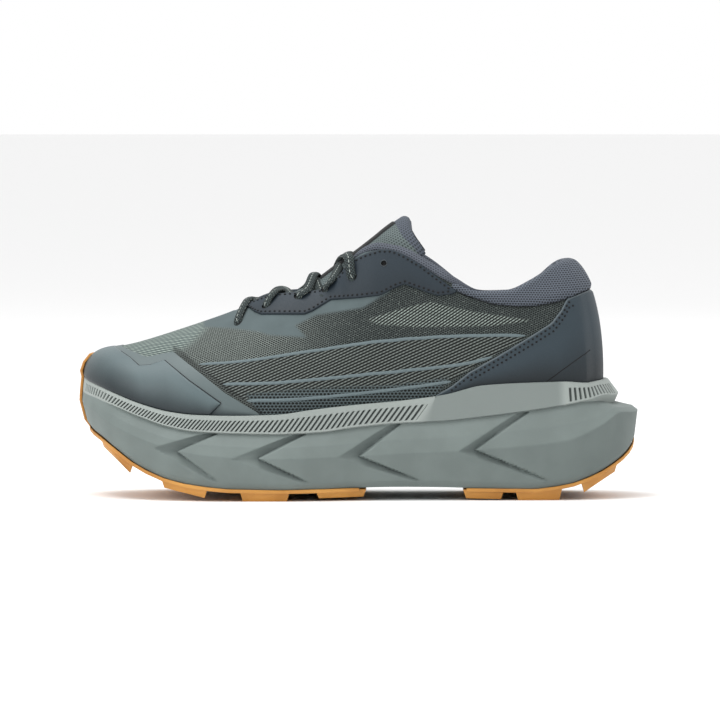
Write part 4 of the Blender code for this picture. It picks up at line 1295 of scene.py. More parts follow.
@dataclass
class Ribbon:
    """A low rounded line on the upper's wall, such as a knitted rib, a seam or a binding."""

    upper: Upper
    name: str
    half_width: float = 0.0009
    height: float = 0.0005
    columns: int = 260
    rows: int = 8
    window: int = 9

    def sheet(self, spots: Points, hand: float) -> BMesh:
        """The ribbon over one line of spots."""
        dense = spline(np.array(spots, float), 8)
        share = run_length(dense) / run_length(dense)[-1]
        even = np.linspace(0.0, 1.0, self.columns + 1)
        kernel = np.ones(self.window) / self.window
        evened = [np.interp(even, share, values) for values in self.upper.locate(dense, hand)]
        turn, w = (np.convolve(np.pad(values, self.window // 2, mode="edge"), kernel, "valid")
                   for values in evened)
        points, out = self.upper.outer(turn, np.clip(w, 0.0, 1.0))
        run = unit(np.gradient(points, axis=0))
        across = unit(np.cross(out, run))
        taper = np.sqrt(np.clip(np.minimum(even, 1 - even) * 30, 0.02, 1.0))

        def place(i: Array, j: Array) -> Laid:
            """Places the points of the ribbon."""
            share_across = 2 * np.minimum(j, 2 * self.rows - j) / self.rows - 1
            lift = self.height * np.sqrt(np.maximum(1 - share_across**2, 0))
            lift = np.where(j > self.rows, -0.5 * lift, lift) - 0.0001
            spot = points[i] + across[i] * (share_across * self.half_width * taper[i])[:, None]
            return spot + out[i] * (lift * taper[i])[:, None], {}

        bm = laid_grid(self.columns, 2 * self.rows, place)
        bmesh.ops.remove_doubles(bm, verts=bm.verts, dist=WELD)
        bmesh.ops.holes_fill(bm, edges=[edge for edge in bm.edges if edge.is_boundary], sides=2 * self.rows)
        return bm

    def build(self, lines: Sequence[Points], material: bpy.types.Material, slot: str) -> bpy.types.Object:
        """Makes the ribbons of both sides as one piece."""
        bm = bmesh.new()
        for hand, _ in HANDS:
            for spots in lines:
                add_mesh(bm, self.sheet(spots, hand))
        return make_piece(self.name, bm, material, crease=60.0)


@dataclass
class Rope:
    """A closed bar with an oval section along a line of knots."""

    name: str
    half_width: float
    half_height: float
    around: int = 14
    steps: int = 10
    girth: float = 1.0

    def build(self, knots: Array, ups: Array, material: bpy.types.Material, slot: str,
              replaces: Sequence[str] = (), swell: Array | None = None) -> bpy.types.Object:
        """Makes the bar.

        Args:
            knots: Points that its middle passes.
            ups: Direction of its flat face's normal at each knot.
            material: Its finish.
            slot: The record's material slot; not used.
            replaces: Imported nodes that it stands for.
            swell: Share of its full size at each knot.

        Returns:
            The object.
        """
        line = spline(knots, self.steps)
        up = spline(ups, self.steps)
        size = np.ones(len(line))
        if swell is not None:
            size = np.clip(spline(swell[:, None], self.steps)[:, 0], 0, 2)
        run = unit(np.gradient(line, axis=0))
        across = unit(np.cross(up, run))
        up = np.cross(run, across)
        lengths = run_length(line)
        end = np.minimum(lengths, lengths[-1] - lengths)
        size = size * quarter_round(np.clip(end / self.half_height, 0, 1))

        def place(i: Array, j: Array) -> Laid:
            """Places the points of the bar."""
            turn = FULL_TURN * i / self.around
            spot = (line[j] + across[j] * (np.cos(turn) * self.half_width * size[j])[:, None]
                    + up[j] * (np.sin(turn) * self.half_height * size[j])[:, None])
            return spot, {"weave": np.stack([lengths[j], self.girth * i / self.around, 0.0 * turn], axis=-1)}

        bm = laid_grid(self.around, len(line) - 1, place)
        return make_piece(self.name, bm, material, replaces, crease=80.0)


@dataclass
class Chevron:
    """A sunk facet in the foam's side, shaped like an arrowhead that points to the toe."""

    tip: Pair
    inner: Pair
    upper: Pair
    lower: Pair
    depth: float = 0.0030

    def sink(self, x: Array, z: Array) -> Array:
        """How far in the side lies at a place, in metres, and never below 0."""
        x, z = x / MM, z / MM
        (low_x, low), (high_x, high) = self.lower, self.upper
        start = np.interp(z, [low, self.tip[1], high], [low_x, self.tip[0], high_x])
        stop = np.interp(z, [low, self.inner[1], high], [low_x + 2.5, self.inner[0], high_x + 5.0])
        width = np.maximum(stop - start, 0.5)
        share = np.clip((x - start) / width, 0.0, 1.0)**0.7
        back = np.clip((x - stop) / 0.9, 0.0, 1.0)
        ends = smooth(low, low + 3, z) * (1 - smooth(high - 3, high, z))
        scale = np.clip(width / 8.0, 0.3, 1.0)
        sunk = self.depth * scale * share * (1 - smooth(0, 1, back)) * (0.35 + 0.65 * ends)
        return np.where((z > low) & (z < high), sunk, 0.0)


@dataclass
class Midsole:
    """Foam cup with chevron facets, a wing at the heel and a ribbed band."""

    form: Form
    half_columns: int = 420
    slot_depth: float = 0.0011
    lean: float = 0.8
    band_thick: float = 0.0016
    foot_in: float = 0.0014
    brow_down: float = 0.0006
    lip_up: float = 0.0004
    rib_pitch: float = 0.0016
    pitch_growth: float = 0.0015
    smooth_plate: Pair = (0.60, 0.875)
    chevrons: Sequence[Chevron] = (
        Chevron((-109.6, 28.6), (-97.4, 26.5), (-76.0, 38.0), (-76.6, 9.5)),
        Chevron((-68.0, 22.4), (-53.8, 22.7), (-29.0, 38.0), (-27.4, 9.0)),
        Chevron((-10.9, 23.3), (0.5, 23.9), (19.5, 43.0), (33.7, 9.5)),
        Chevron((53.4, 26.5), (62.1, 27.3), (89.0, 50.0), (102.5, 9.5)),
    )

    def sink(self, points: Array) -> Array:
        """Depth of the chevron facets at points of the side."""
        seen = seen_height(points)
        return sum(chevron.sink(points[:, 0], seen) for chevron in self.chevrons)

    def body(self) -> None:
        """Makes the foam."""
        form = self.form
        turns = form.even_turns(self.half_columns)
        legs = [("middle", "edge", 8), ("edge", "chamfer", 4), ("chamfer", "ridge", 22), ("ridge", "lip", 14),
                ("lip", "under", 18), ("under", "foot", 1), ("foot", "brow", 3), ("brow", "cup_rim", 3),
                ("cup_rim", "cup_floor", 4), ("cup_floor", "cup_middle", 8)]

        def stop(name: str, turn: Array) -> Array:
            """A line round the foam where the facets change."""
            across = FULL_TURN - turn
            if name == "middle":
                return (form.level("edge", turn) + form.level("edge", across)) / 2
            if name in ("cup_rim", "cup_floor"):
                point = form.last(turn, np.full(len(turn), float(name == "cup_rim")), form.gap)
                point[:, 2] -= form.gap
                return point
            if name == "cup_middle":
                return (stop("cup_floor", turn) + stop("cup_floor", across)) / 2
            if name in ("foot", "brow"):
                point = form.level("band" if name == "foot" else "rim", turn)
                point = point - form.outward(turn) * self.foot_in
                point[:, 2] -= self.brow_down if name == "brow" else 0.0
                return point
            return form.level(name, turn)

        places, sinks = [], []
        for number, (first, last, count) in enumerate(legs):
            low, high = stop(first, turns), stop(last, turns)
            for step in range(count + int(number == len(legs) - 1)):
                point = low + (high - low) * (step / count)
                places.append(point)
                on_side = first in ("chamfer", "ridge", "lip")
                sinks.append(self.sink(point) if on_side else np.zeros(len(turns)))
        grid, depth = np.array(places), np.array(sinks)
        out = form.outward(turns)

        def place(i: Array, j: Array) -> Laid:
            """Places the points of the foam."""
            point = grid[j, i]
            # Painted shade for the groove mark: the chevrons' upper facets, which face down, a dark crease
            # along their lower arms, and the rear of the foam below the ridge.
            groove = np.clip(depth[j, i] / Chevron.depth, 0.0, 1.0)
            faces_down = smooth(0.022, 0.027, point[:, 2])
            upper = 0.30 * smooth(0.0, 0.12, groove) + 0.40 * groove
            shade = upper * faces_down + 0.8 * groove**4 * (1 - faces_down)
            ridge = form.level("ridge", turns[i])[:, 2]
            behind = smooth(0.03, 0.12, point[:, 0]) * (1 - smooth(-0.001, 0.0012, point[:, 2] - ridge))
            shade = np.maximum(shade, 0.21 * behind)
            return point - out[i] * depth[j, i][:, None], {"groove": shade}

        bm = laid_grid(len(turns) - 1, len(grid) - 1, place)
        make_piece("midsole_foam", bm, FoamFinish().material(), ["midsole"], crease=50.0)

    def rib_turns(self) -> tuple[Array, Array, Array, Array]:
        """Columns of the band on the lateral side: turns, and slot depth, lean and ribbing of each."""
        form = self.form
        fine = np.linspace(0, math.pi, 2000)
        at = (run_length(form.level("band", fine)) + run_length(form.level("band", FULL_TURN - fine))) / 2
        along = form.along(fine)
        pitch = self.rib_pitch + self.pitch_growth * smooth(0.05, 0.50, along)
        level = np.abs(np.gradient(form.level("band", fine)[:, 0])) / np.maximum(np.gradient(at), 1e-9)
        pitch = pitch / np.where(along < 0.2, np.clip(level, 0.7, 1.0), 1.0)
        cells = np.concatenate([[0], np.cumsum(np.diff(at) / ((pitch[1:] + pitch[:-1]) / 2))])
        total = int(round(cells[-1]))
        cells = cells * total / cells[-1]
        profile = np.array([0.0, 0.24, 0.31, 0.38, 0.50, 0.64, 0.71, 0.78])
        steps = (np.arange(total)[:, None] + profile[None]).ravel()
        steps = np.append(steps, total)
        slots = np.append(np.tile([0, 0, 0.5, 1, 1, 1, 0.5, 0], total), 0.0)
        turn = np.interp(steps, cells, fine)
        along = form.along(turn)
        start, stop = self.smooth_plate
        ribbed = (along > 0.004) & ((along < start) | (along > stop)) & (along < 0.995)
        fading, growing = 1 - smooth(start, start + 0.03, along), smooth(stop - 0.02, stop, along)
        lean = smooth(0.0, 0.06, along) * (1 - smooth(start, start + 0.04, along))
        return turn, slots * ribbed, lean, np.where(along < 0.75, fading, growing)

    def band(self) -> None:
        """Makes the ribbed band."""
        form = self.form
        lateral, *columns = self.rib_turns()
        turns = both_sides(lateral)
        slots, leans, ribbed = (np.concatenate([column, column[-2::-1]]) for column in columns)
        span = 0.002
        run = form.level("band", turns + span) - form.level("band", turns - span)
        speed = np.linalg.norm(run, axis=1) / (2 * span)
        side = np.where(turns <= math.pi, 1.0, -1.0)
        under_row, face_row, top_row, back_row = range(4)
        rows = np.array([
            (under_row, 0.0, 0.0), (face_row, 0.0, 0.0), (face_row, 0.07, 0.0), (face_row, 0.10, 1.0),
            (face_row, 0.3, 1.0), (face_row, 0.5, 1.0), (face_row, 0.70, 1.0), (face_row, 0.76, 0.0),
            (face_row, 0.9, 0.0), (face_row, 1.0, 0.0), (top_row, 0.35, 0.0), (top_row, 1.0, 0.0),
            (back_row, 1.0, 0.0), (under_row, 0.0, 0.0),
        ])

        def place(i: Array, j: Array) -> Laid:
            """Places the points of the band."""
            kind, share = rows[j, :1], rows[j, 1]
            open_slot = rows[j, 2] * slots[i]
            rise = form.level("rim", turns[i])[:, 2] - form.level("band", turns[i])[:, 2]
            lean = self.lean * leans[i] * rise / np.maximum(speed[i], 1e-6)
            up = np.where(kind[:, 0] == top_row, 1.0, share)
            turn = turns[i] + side[i] * lean * up
            foot, head = form.level("band", turn), form.level("rim", turn)
            point = foot + (head - foot) * up[:, None]
            point = point - form.outward(turn) * (self.slot_depth * open_slot)[:, None]
            inner = form.last(turn, np.ones(len(turn)), form.gap)
            over = head + (inner - head) * share[:, None]
            over[:, 2] += self.lip_up * np.where(share < 0.9, 1.0, 0.0)
            under = form.level("under", turns[i])
            back = under - form.outward(turns[i]) * self.band_thick
            for number, other in ((back_row, back), (under_row, under), (top_row, over)):
                point = np.where(kind == number, other, point)
            # open_slot also sets the painted shade in the slots
            return point, {"groove": open_slot, "ribbed": ribbed[i]}

        bm = laid_grid(len(turns) - 1, len(rows) - 1, place)
        make_piece("midsole_band", bm, BandFinish().material(), crease=35.0)

    def build(self) -> None:
        """Makes the foam and its band."""
        self.body()
        self.band()


@dataclass
class Tongue:
    """Padded tongue with a thick rolled top."""

    form: Form
    around: int = 64
    steps: int = 90
    raised: float = 0.016
    back_lean: float = 0.005
    roll: float = 1.2
    panel_ends: Pair = (0.50, 0.92)
    panel_half: float = 0.26
    panel_lift: float = 0.0007
    seam: Points = ((19.2, 149.7), (23.4, 141.8), (30.0, 135.4), (34.0, 128.0))

    def section(self, v: Array) -> tuple[Array, Array, dict[str, Array]]:
        """Middle, direction out of the front and sizes at shares of the tongue's length."""
        form = self.form
        fine = spline(np.array(TONGUE), 12)
        at = run_length(fine[:, :2] * [form.length, form.height])

        def read(place: Array, columns: int) -> Array:
            """The table's first columns at distances from the tongue's start."""
            return np.stack([np.interp(place, at, fine[:, k]) for k in range(columns)], axis=-1)

        rows = read(v * at[-1], len(Flap._fields))
        rows[:, 1] += self.raised * smooth(0.41, 0.48, rows[:, 0])
        rows[:, 0] += self.back_lean * smooth(0.84, 1.0, v)
        run = (read(v * at[-1] + 0.002, 2) - read(v * at[-1] - 0.002, 2)) * [form.length, form.height]
        out = unit(np.stack([-run[:, 1], 0 * v, run[:, 0]], axis=-1))
        mid = form.width * form.top_line["mid"](rows[:, 0])
        centre = np.stack([form.length * (rows[:, 0] - 0.5), mid, form.height * rows[:, 1]], axis=-1)
        sizes = {name: rows[:, k] * form.width for k, name in enumerate(("half", "drop", "thick"), 2)}
        return centre, out, sizes

    def place(self, i: Array, j: Array) -> Laid:
        """Places the points of the tongue."""
        v = j / self.steps
        centre, out, size = self.section(v)
        turn = FULL_TURN * i / self.around
        end = np.clip(np.minimum(v, 1 - v) * 22, 0.0, 1.0)
        close = quarter_round(end)
        share = np.cos(turn) * close
        thick = size["thick"] * (1 + self.roll * smooth(0.56, 0.80, v))
        half_thick = thick / 2 * close * np.sqrt(np.maximum(1 - np.abs(share)**5, 0.0))
        middle = centre + out * (-size["drop"] * share**2 - thick / 2)[:, None]
        point = middle + out * (half_thick * np.sign(np.sin(turn)) * np.abs(np.sin(turn))**0.5)[:, None]
        point[:, 1] += size["half"] * share
        seam_x, seam_z = np.array(self.seam).T * MM
        pad = (point[:, 0] - np.interp(-seen_height(point), -seam_z, seam_x)) / MM
        lining = np.where(np.sin(turn) < -0.15, ALL_LINING, pad)
        weave = np.stack([v * 0.13, share * 0.02 + np.sin(turn) * 0.004, 0 * v], axis=-1)
        return point, {"pad": lining, "weave": weave}

    def build(self) -> None:
        """Makes the tongue."""
        bm = laid_grid(self.around, self.steps, self.place)
        finish = KnitFinish("tongue_mesh", srgb(112, 124, 124), srgb(42, 48, 48), 0.0015, srgb(96, 103, 114))
        piece = make_piece("tongue_pad", bm, finish.material(), ["tongue"], crease=80.0)
        self.panel()

    def panel(self, columns: int = 60, rows: int = 24) -> None:
        """Plain dark panel on the tongue's front, up to the roll."""
        start, stop = self.panel_ends

        def place(i: Array, j: Array) -> Laid:
            """Places the points of the panel: its face, then its back."""
            v = start + (stop - start) * i / columns
            across = 2 * np.minimum(j, 2 * rows - j) / rows - 1
            centre, out, size = self.section(v)
            share = across * self.panel_half
            sides, ends = (1 - np.abs(across)) * 8, (1 - np.abs(2 * i / columns - 1)) * 20
            edge = np.clip(np.minimum(sides, ends), 0, 1)
            height = np.where(j > rows, -0.3, 1.0) * self.panel_lift * quarter_round(edge)
            point = centre + out * (-size["drop"] * share**2 + height)[:, None]
            point[:, 1] += size["half"] * share
            return point, {}

        bm = laid_grid(columns, 2 * rows, place)
        finish = PlainFinish("panel_dark", srgb(14, 17, 19), 0.8)
        make_piece("tongue_panel", bm, finish.material())


@dataclass
class Lace:
    """One lace, crossed from eyelet to eyelet up the throat."""

    upper: Upper
    eyelets: Points = ((-64.3, 95.7), (-49.2, 104.1), (-32.1, 108.9), (-17.5, 113.2), (-2.7, 119.6))
    spare: Pair = (13.7, 127.0)
    half_width: float = 0.0027
    half_height: float = 0.0012
    bore: float = 0.0024
    spare_bore: float = 0.0015
    drill_depth: float = 0.0060
    floor_thick: float = 0.0005
    floor_rim: float = 0.0003
    ring_radius: float = 0.0017
    ring_wire: float = 0.00025
    edge_share: float = 0.30
    far_edge_share: float = 0.86
    over_edge: float = 0.0017
    start_under: float = 0.0030
    dive_under: float = 0.0042
    end_under: float = 0.0036

    def hole(self, spot: Pair, hand: float) -> tuple[Array, Array]:
        """Middle of an eyelet and the direction out of it."""
        point, out = self.upper.outer(*self.upper.locate([spot], hand))
        return point[0], out[0]

    def edge(self, x: float, hand: float) -> Array:
        """The throat's edge at a place along the shoe."""
        turns = np.linspace(0.3, 2.2, 400)
        tops = self.upper.form.top(turns if hand < 0 else FULL_TURN - turns)
        return tops[int(np.argmin(np.abs(tops[:, 0] - x)))]

    def over_tongue(self, x: float) -> float:
        """Height of the tongue's front face over the middle."""
        table = np.array([[row.x - 0.5, row.height] for row in TONGUE])
        return float(np.interp(x, table[:, 0] * self.upper.form.length, table[:, 1] * self.upper.form.height))

    def strand(self, hand: float) -> tuple[list[Array], list[Array]]:
        """One half of the lace from under the front eyelet up to the top one."""
        lift = self.half_height * (3.1 if hand < 0 else 1.1)
        knots, ups = [], []
        for spot, next_spot in zip(self.eyelets, self.eyelets[1:]):
            here, out = self.hole(spot, hand)
            there, far_out = self.hole(next_spot, -hand)
            edge = self.edge(here[0] + (there[0] - here[0]) * self.edge_share, hand)
            far_edge = self.edge(here[0] + (there[0] - here[0]) * self.far_edge_share, -hand)
            over = unit(out + np.array([0.0, -hand * 0.5, 1.0]))
            middle = (edge + far_edge) / 2
            middle[2] = max(self.over_tongue(middle[0]) + lift, middle[2] + 0.0005)
            knots += [here - out * self.start_under, here + out * 0.0013 + (edge - here) * 0.10,
                      edge + over * self.over_edge, middle]
            ups += [out, unit(out + over * 0.5), over, UP]
            down = np.array([0.0, -hand * 0.0015, -0.0032])
            if next_spot != self.eyelets[-1]:
                knots += [far_edge + down, there - far_out * self.dive_under]
                ups += [UP, far_out]
            else:
                over = unit(far_out + np.array([0.0, hand * 0.5, 1.0]))
                knots += [far_edge + over * 0.0026, there + far_out * 0.0021 + (far_edge - there) * 0.10,
                          there - far_out * self.end_under]
                ups += [over, unit(far_out + over * 0.5), far_out]
            hand = -hand
        return knots, ups

    def build(self) -> None:
        """Makes the lace and the eyelets."""
        knots, ups = self.strand(-1.0)
        other_knots, other_ups = self.strand(1.0)
        front = (knots[0] + other_knots[0]) / 2 - UP * 0.0010
        line = other_knots[::-1] + [front] + knots
        faces = other_ups[::-1] + [UP] + ups
        rope = Rope("lace_woven", self.half_width, self.half_height, around=16, steps=12)
        rope.build(np.array(line), np.array(faces), LaceFinish().material(), "lace", ["lace"])
        self.rings()

    def rings(self) -> None:
        """Discs of painted shade in the eyelet holes under the lace, the holes cut through the eyestays, and
        the rim of the spare eyelet.
        """
        holes, rims, drills = bmesh.new(), bmesh.new(), bmesh.new()

        def add_disc(bm: BMesh, radius: float, depth: float, at: Matrix) -> None:
            """Adds a closed disc."""
            bmesh.ops.create_cone(bm, cap_ends=True, cap_tris=False, segments=24, radius1=radius,
                                  radius2=radius, depth=depth, matrix=at)

        upright = Matrix.Rotation(math.pi / 2, 4, "X")
        for hand, _ in HANDS:
            for spot in [*self.eyelets, self.spare]:
                point, out = self.hole(spot, hand)
                rest = Vector((0, 0, 1)).rotation_difference(Vector(out)).to_matrix().to_4x4()
                at = Matrix.Translation(Vector(point + out * 0.0009)) @ rest
                bore = self.spare_bore if spot == self.spare else self.bore
                floor = Matrix.Translation(Vector(point)) @ rest
                add_disc(holes, bore + self.floor_rim, self.floor_thick, floor)
                add_disc(drills, bore, self.drill_depth, at)
                if spot != self.spare:
                    continue
                start = at @ Matrix.Translation((self.ring_radius, 0, 0.0002)) @ upright
                ring = bmesh.ops.create_circle(rims, segments=8, radius=self.ring_wire, matrix=start)["verts"]
                edges = list(dict.fromkeys(edge for vert in ring for edge in vert.link_edges))
                bmesh.ops.spin(rims, geom=ring + edges, cent=at.translation, axis=Vector(out),
                               angle=FULL_TURN, steps=20, use_merge=True)
        for _, name in HANDS:
            cut_out(bpy.data.objects[f"eyestay_{name}_film"], drills)
        drills.free()
        # near-black discs of painted shade at the floor of each eyelet
        dark = PlainFinish("hole_dark", srgb(14, 16, 16), 0.9)
        make_piece("eyelet_hole_shade", holes, dark.material())
        rim = PlainFinish("eyelet_rim", srgb(58, 68, 74), 0.5)
        make_piece("eyelet_rims", rims, rim.material())


@dataclass
class Dressing:
    """Films, counter, eyestays, seams and knitted lines over the upper."""

    upper: Upper
    toe_film: Points = ((-150.0, 100.0), (-130.0, 84.0), (-125.9, 81.9), (-113.7, 77.0), (-99.2, 79.8),
                        (-84.8, 68.6), (-71.4, 57.9), (-53.7, 47.2), (-50.0, 42.0))
    bumper_foot: Points = ((-150.0, 10.0), (-84.0, 40.0), (-78.3, 46.6), (-73.1, 51.9), (-69.0, 60.0))
    bumper: Points = ((-150.0, 100.0), (-134.0, 84.0), (-121.8, 75.8), (-117.2, 71.8), (-110.8, 72.3),
                      (-103.8, 74.9), (-90.5, 64.2), (-73.1, 52.0), (-71.0, 40.0))
    counter: Points = ((36.0, 50.0), (39.3, 54.8), (49.7, 60.8), (59.6, 68.6), (76.0, 77.9), (92.4, 87.8),
                       (103.3, 94.8), (108.7, 101.9), (111.4, 107.4), (123.5, 112.4), (131.0, 113.6))
    stay_low: Points = ((-58.7, 103.4), (-55.5, 101.0), (-51.9, 99.6), (-28.8, 99.6), (-24.4, 101.4),
                        (-14.6, 107.4), (0.8, 108.5), (11.6, 109.8), (18.8, 113.6), (24.5, 115.8),
                        (37.9, 111.0), (42.6, 109.6), (49.8, 110.5), (52.7, 112.0), (60.0, 125.0))
    stay_high: Points = ((-70.0, 96.0), (-58.7, 104.2), (-53.2, 140.0), (-9.0, 140.0), (-7.0, 126.7),
                         (-4.2, 128.3), (0.0, 130.6), (4.4, 132.6), (11.6, 134.9), (17.8, 134.9),
                         (23.5, 132.5), (33.1, 126.8), (42.6, 119.6), (52.7, 112.0), (60.0, 105.0))
    lines: Sequence[Points] = (
        ((-86.0, 73.0), (-60.0, 75.0), (-30.0, 79.5), (5.0, 84.5), (40.0, 87.6), (70.0, 88.6), (90.0, 88.4)),
        ((-73.0, 62.5), (-45.0, 63.2), (-10.0, 66.2), (30.0, 70.2), (56.0, 73.2), (72.0, 77.2)),
        ((-60.0, 53.5), (-30.0, 54.6), (5.0, 58.0), (34.0, 61.6), (50.0, 64.0)),
    )
    back_seam: Points = ((124.0, 81.2), (112.0, 72.5), (99.5, 63.2))
    film_end: float = 0.345
    bumper_end: float = 0.27
    counter_start: float = 0.60
    stay_ends: Pair = (0.27, 0.70)
    stay_seam: float = 0.0017
    counter_seams: Pair = (0.0015, 0.0040)
    binding_ends: Pair = (0.485, 0.74)
    binding_out: float = 0.0018
    binding_down: float = 0.0004

    def around_toe(self, stop: float) -> Pair:
        """Turns from the medial side round the toe to the lateral side."""
        turn = self.upper.form.turn_at(stop)
        return -turn, turn

    def build(self) -> None:
        """Makes everything that lies on the upper."""
        form = self.upper.form
        start, stop = self.around_toe(self.film_end)
        film = Overlay(self.upper, "toe_film", start, stop, high=self.toe_film, thickness=0.0004,
                       rounded=0.0004, columns=420, rows=44)
        # The second colour of each film finish is painted shade at its foot.
        finish = FilmFinish("toe_film", srgb(99, 112, 113), srgb(50, 61, 65), (0.0, 0.45))
        film.build(finish.material(), "toe_film")
        start, stop = self.around_toe(self.bumper_end)
        bumper = Overlay(self.upper, "toe_bumper", start, stop, self.bumper_foot, self.bumper,
                         thickness=0.0019, rounded=0.0012, columns=420, rows=44, sink=0.0001, thin_up=0.75)
        finish = FilmFinish("toe_bumper", srgb(94, 110, 113), srgb(14, 26, 32), (-0.12, 0.80), 0.46)
        bumper.build(finish.material(), "toe_film", ["toe_cap"])

        first = form.turn_at(self.counter_start)
        counter = Overlay(self.upper, "heel_counter_film", first, FULL_TURN - first, high=self.counter,
                          thickness=0.0009, columns=480, rows=48)
        # The second colours are painted shade at the foot of the counter and the eyestays.
        slate = FilmFinish("overlay_film", srgb(47, 62, 71), srgb(20, 31, 37), (0.0, 0.7), 0.58)
        dark_slate = FilmFinish("eyestay_film", srgb(33, 47, 57), srgb(27, 40, 49), (0.0, 0.8), 0.62)
        counter.build(slate.material(), "overlay_film", ["heel_counter"])

        stitches, row = bmesh.new(), StitchRow()
        count = 0
        for hand, name in HANDS:
            turns = sorted(form.turn_at(along, hand) for along in self.stay_ends)
            stay = Overlay(self.upper, f"eyestay_{name}_film", *turns, low=self.stay_low, high=self.stay_high,
                           thickness=0.0011, columns=300, rows=36)
            stay.build(dark_slate.material(), "overlay_film", [f"eyestay_{name}"])
            for high in (True, False):
                count += row.sew(stitches, *stay.border(high, self.stay_seam))
        for inset in self.counter_seams:
            for span in ((0.0, 0.30), (0.70, 1.0)):
                count += row.sew(stitches, *counter.border(True, inset, *span))
        log.info("%d stitches", count)
        thread = PlainFinish("thread_dark", srgb(10, 14, 18), 0.9)
        make_piece("stitches", stitches, thread.material(), crease=80.0)

        knitted = PlainFinish("knit_rib", srgb(112, 128, 132), 0.75, 1800.0)
        Ribbon(self.upper, "knitted_lines").build(self.lines, knitted.material(), "upper_mesh")
        seam = Ribbon(self.upper, "counter_seam", half_width=0.0005, height=0.0012, columns=120)
        seam.build([self.back_seam], thread.material(), "overlay_film")
        self.binding()
        piping = PlainFinish("edge_line", srgb(96, 108, 114), 0.6)
        shade = PlainFinish("edge_shade", srgb(30, 37, 40), 0.8)
        self.edge_line("counter_edge", counter, piping.material(), "overlay_film", 0.0004, 0.0005)
        # dark cord of painted shadow just outside the toe bumper's edge
        self.edge_line("bumper_edge", bumper, shade.material(), "toe_film", 0.0005, 0.0005, -0.128)

    def edge_line(self, name: str, sheet: Overlay, material: bpy.types.Material, slot: str, lift: float,
                  radius: float, front: float = -0.118) -> None:
        """A thin cord along the high outline of an overlay, on both sides of the shoe.

        Args:
            name: Name of the two pieces, before _a and _b.
            sheet: The overlay.
            material: The cord's finish.
            slot: The record's material slot.
            lift: Height of the cord's middle over the wall.
            radius: Radius of the cord.
            front: Place along the shoe at which the cord starts.
        """
        for start, stop, side in ((0.0, 0.5, "a"), (0.5, 1.0, "b")):
            points, out = sheet.border(True, 0.0, start, stop)
            inside = points[:, 0] > front
            keep = np.linspace(0, inside.sum() - 1, 60).astype(int)
            points, out = points[inside][keep], out[inside][keep]
            points = points + out * (lift - sheet.thickness)
            Rope(f"{name}_{side}", radius, radius, around=8, steps=3).build(points, out, material, slot)

    def binding(self) -> None:
        """Padded roll that shows over the eyestays and runs into the collar."""
        form = self.upper.form
        finish = KnitFinish("binding_mesh", srgb(102, 108, 118), srgb(40, 43, 50), 0.0015)
        for hand, name in HANDS:
            alongs = np.linspace(*self.binding_ends, 18)
            turns = np.array([form.turn_at(along, hand) for along in alongs])
            knots = form.top(turns) + np.array([0.0, -hand * self.binding_out, -self.binding_down])
            swell = smooth(0.48, 0.53, alongs) * (1 - smooth(0.64, 0.74, alongs)) + 0.05
            rope = Rope(f"binding_{name}", 0.0026, 0.0025, around=20, steps=6, girth=0.016)
            roll = rope.build(knots, np.tile(UP, (len(knots), 1)), finish.material(), "padding", swell=swell)


@dataclass
class Insole:
    """Insole in the cup, its edge turned up round the heel."""

    form: Form
    thick: float = 0.0045
    lifted: float = 0.0002
    edge_up: float = 0.0006

    def build(self) -> None:
        """Makes the insole."""
        form = self.form
        turns = form.even_turns(200)
        rows = np.array([(0.0, 0.0), (0.25, 0.0), (0.6, 0.0), (0.9, 0.0), (1.0, 0.15), (1.0, 0.85),
                         (0.985, 1.0), (0.9, 1.0), (0.6, 1.0), (0.25, 1.0), (0.0, 1.0)])
        base = form.last(turns, np.zeros(len(turns))) - form.outward(turns) * (form.upper_wall + 3 * form.gap)
        across = (base + base[::-1]) / 2

        def place(i: Array, j: Array) -> Laid:
            """Places the points of the insole."""
            reach, height = rows[j].T
            point = across[i] + (base[i] - across[i]) * reach[:, None]
            point[:, 2] += self.lifted + self.thick * height + self.edge_up * height * reach**4
            return point, {"weave": point * [1.0, 1.0, 0.0]}

        bm = laid_grid(len(turns) - 1, len(rows) - 1, place)
        finish = KnitFinish("insole_knit", srgb(70, 74, 82), srgb(34, 36, 40), 0.0016)
        piece = make_piece("insole_pad", bm, finish.material(), ["insole"], crease=60.0)


@dataclass
class Outsole:
    """Gum rubber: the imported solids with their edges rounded."""

    nodes: Sequence[str] = ("outsole_forefoot", "outsole_heel")
    sharp_from: float = 38.0
    edge_round: float = 0.0008
    swell: float = 0.00022

    def build(self) -> None:
        """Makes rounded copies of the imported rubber."""
        material = GumFinish().material()
        for name in self.nodes:
            bm = bmesh.new()
            bm.from_mesh(frame["nodes"][name].data)
            bmesh.ops.remove_doubles(bm, verts=bm.verts, dist=1e-5)
            bmesh.ops.dissolve_limit(bm, angle_limit=math.radians(3.0), verts=bm.verts, edges=bm.edges)
            sharp = [edge for edge in bm.edges if len(edge.link_faces) == 2
                     and edge.calc_face_angle(0.0) > math.radians(self.sharp_from)
                     and edge.calc_length() > 2 * self.edge_round]
            bmesh.ops.bevel(bm, geom=sharp, offset=self.edge_round, affect="EDGES", segments=2, profile=0.5,
                            material=-1, clamp_overlap=True)
            bm.normal_update()
            for vert in bm.verts:
                vert.co += vert.normal * self.swell
            make_piece(name.replace("outsole", "tread"), bm, material, [name], crease=50.0)


class Lamp(NamedTuple):
    """A soft box of the studio."""

    name: str
    place: tuple[float, float, float]
    size: float
    watts: float


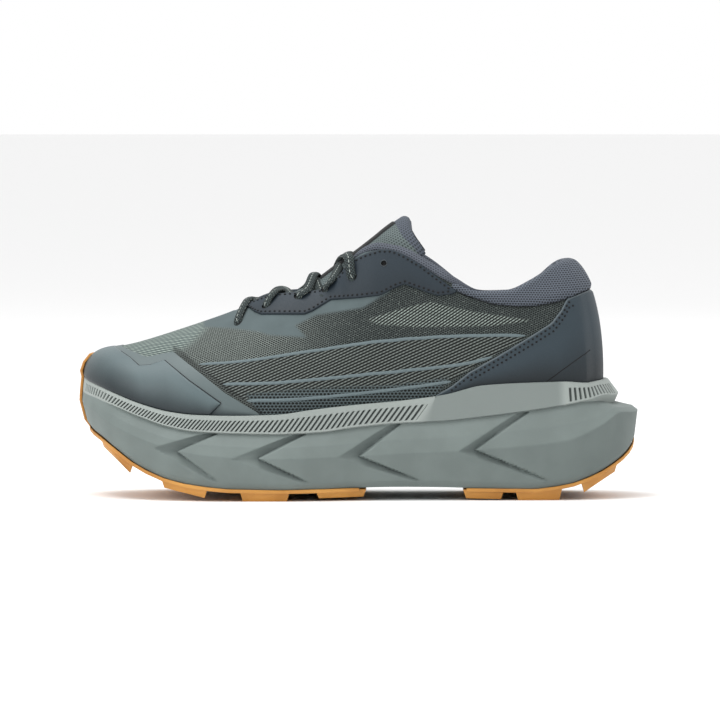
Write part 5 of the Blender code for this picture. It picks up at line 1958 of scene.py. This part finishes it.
@dataclass
class Studio:
    """Pale floor, soft boxes and the camera at the photograph's angle."""

    distance: float = 6.0
    lens: float = 563.0
    tilt: float = 3.0
    aim: tuple[float, float, float] = (0.0008, -0.050, 0.0754)
    daylight: float = 1.0
    lamps: Sequence[Lamp] = (
        Lamp("top_box", (-0.25, -0.15, 1.3), 0.8, 12.0),
        Lamp("front_box", (-1.3, -1.0, 0.9), 0.7, 6.0),
        Lamp("back_box", (0.6, 1.3, 1.0), 1.0, 3.0),
    )

    def build(self) -> None:
        """Sets up the studio."""
        scene = bpy.context.scene
        scene.view_settings.view_transform = "Standard"
        bm = bmesh.new()
        bmesh.ops.create_grid(bm, x_segments=1, y_segments=1, size=6.0)
        mesh = bpy.data.meshes.new("floor")
        bm.to_mesh(mesh)
        bm.free()
        paint = Paint("floor_pale", 0.9)
        mesh.materials.append(paint.finish((0.90, 0.90, 0.90)))
        floor = bpy.data.objects.new("floor", mesh)
        scene.collection.objects.link(floor)

        world = bpy.data.worlds.new("studio")
        world.use_nodes = True
        sky = world.node_tree.nodes["Background"].inputs
        sky["Color"].default_value = (1.0, 1.0, 1.0, 1.0)
        sky["Strength"].default_value = self.daylight
        scene.world = world
        target = Vector((0.0, 0.0, 0.06))
        for lamp in self.lamps:
            light = bpy.data.lights.new(lamp.name, "AREA")
            light.size, light.energy = lamp.size, lamp.watts
            holder = bpy.data.objects.new(lamp.name, light)
            holder.location = lamp.place
            holder.rotation_euler = (target - holder.location).to_track_quat("-Z", "Y").to_euler()
            scene.collection.objects.link(holder)

        camera = bpy.data.objects.new("camera", bpy.data.cameras.new("camera"))
        tilt = math.radians(self.tilt)
        camera.location = Vector(self.aim) + self.distance * Vector((0.0, -math.cos(tilt), math.sin(tilt)))
        camera.rotation_euler = (math.pi / 2 - tilt, 0.0, 0.0)
        camera.data.lens = self.lens
        camera.data.sensor_width = 36.0
        scene.collection.objects.link(camera)
        scene.camera = camera


class Stage(Enum):
    """The steps of the build, in order."""

    STUDIO = "studio"
    SOLE = "sole"
    UPPER = "upper"
    LACING = "lacing"


def main() -> None:
    """Builds the studio and every visible piece."""
    logging.basicConfig(level=logging.INFO, format="%(message)s")
    form = Form()
    upper = Upper(form)
    steps = {
        Stage.STUDIO: [Studio()],
        Stage.SOLE: [Midsole(form), Outsole(), Insole(form)],
        Stage.UPPER: [upper, Dressing(upper), Tongue(form)],
        Stage.LACING: [Lace(upper)],
    }
    for stage, parts in steps.items():
        for part in parts:
            log.info("%s: %s", stage.value, type(part).__name__)
            part.build()


if __name__ == "__main__":
    main()
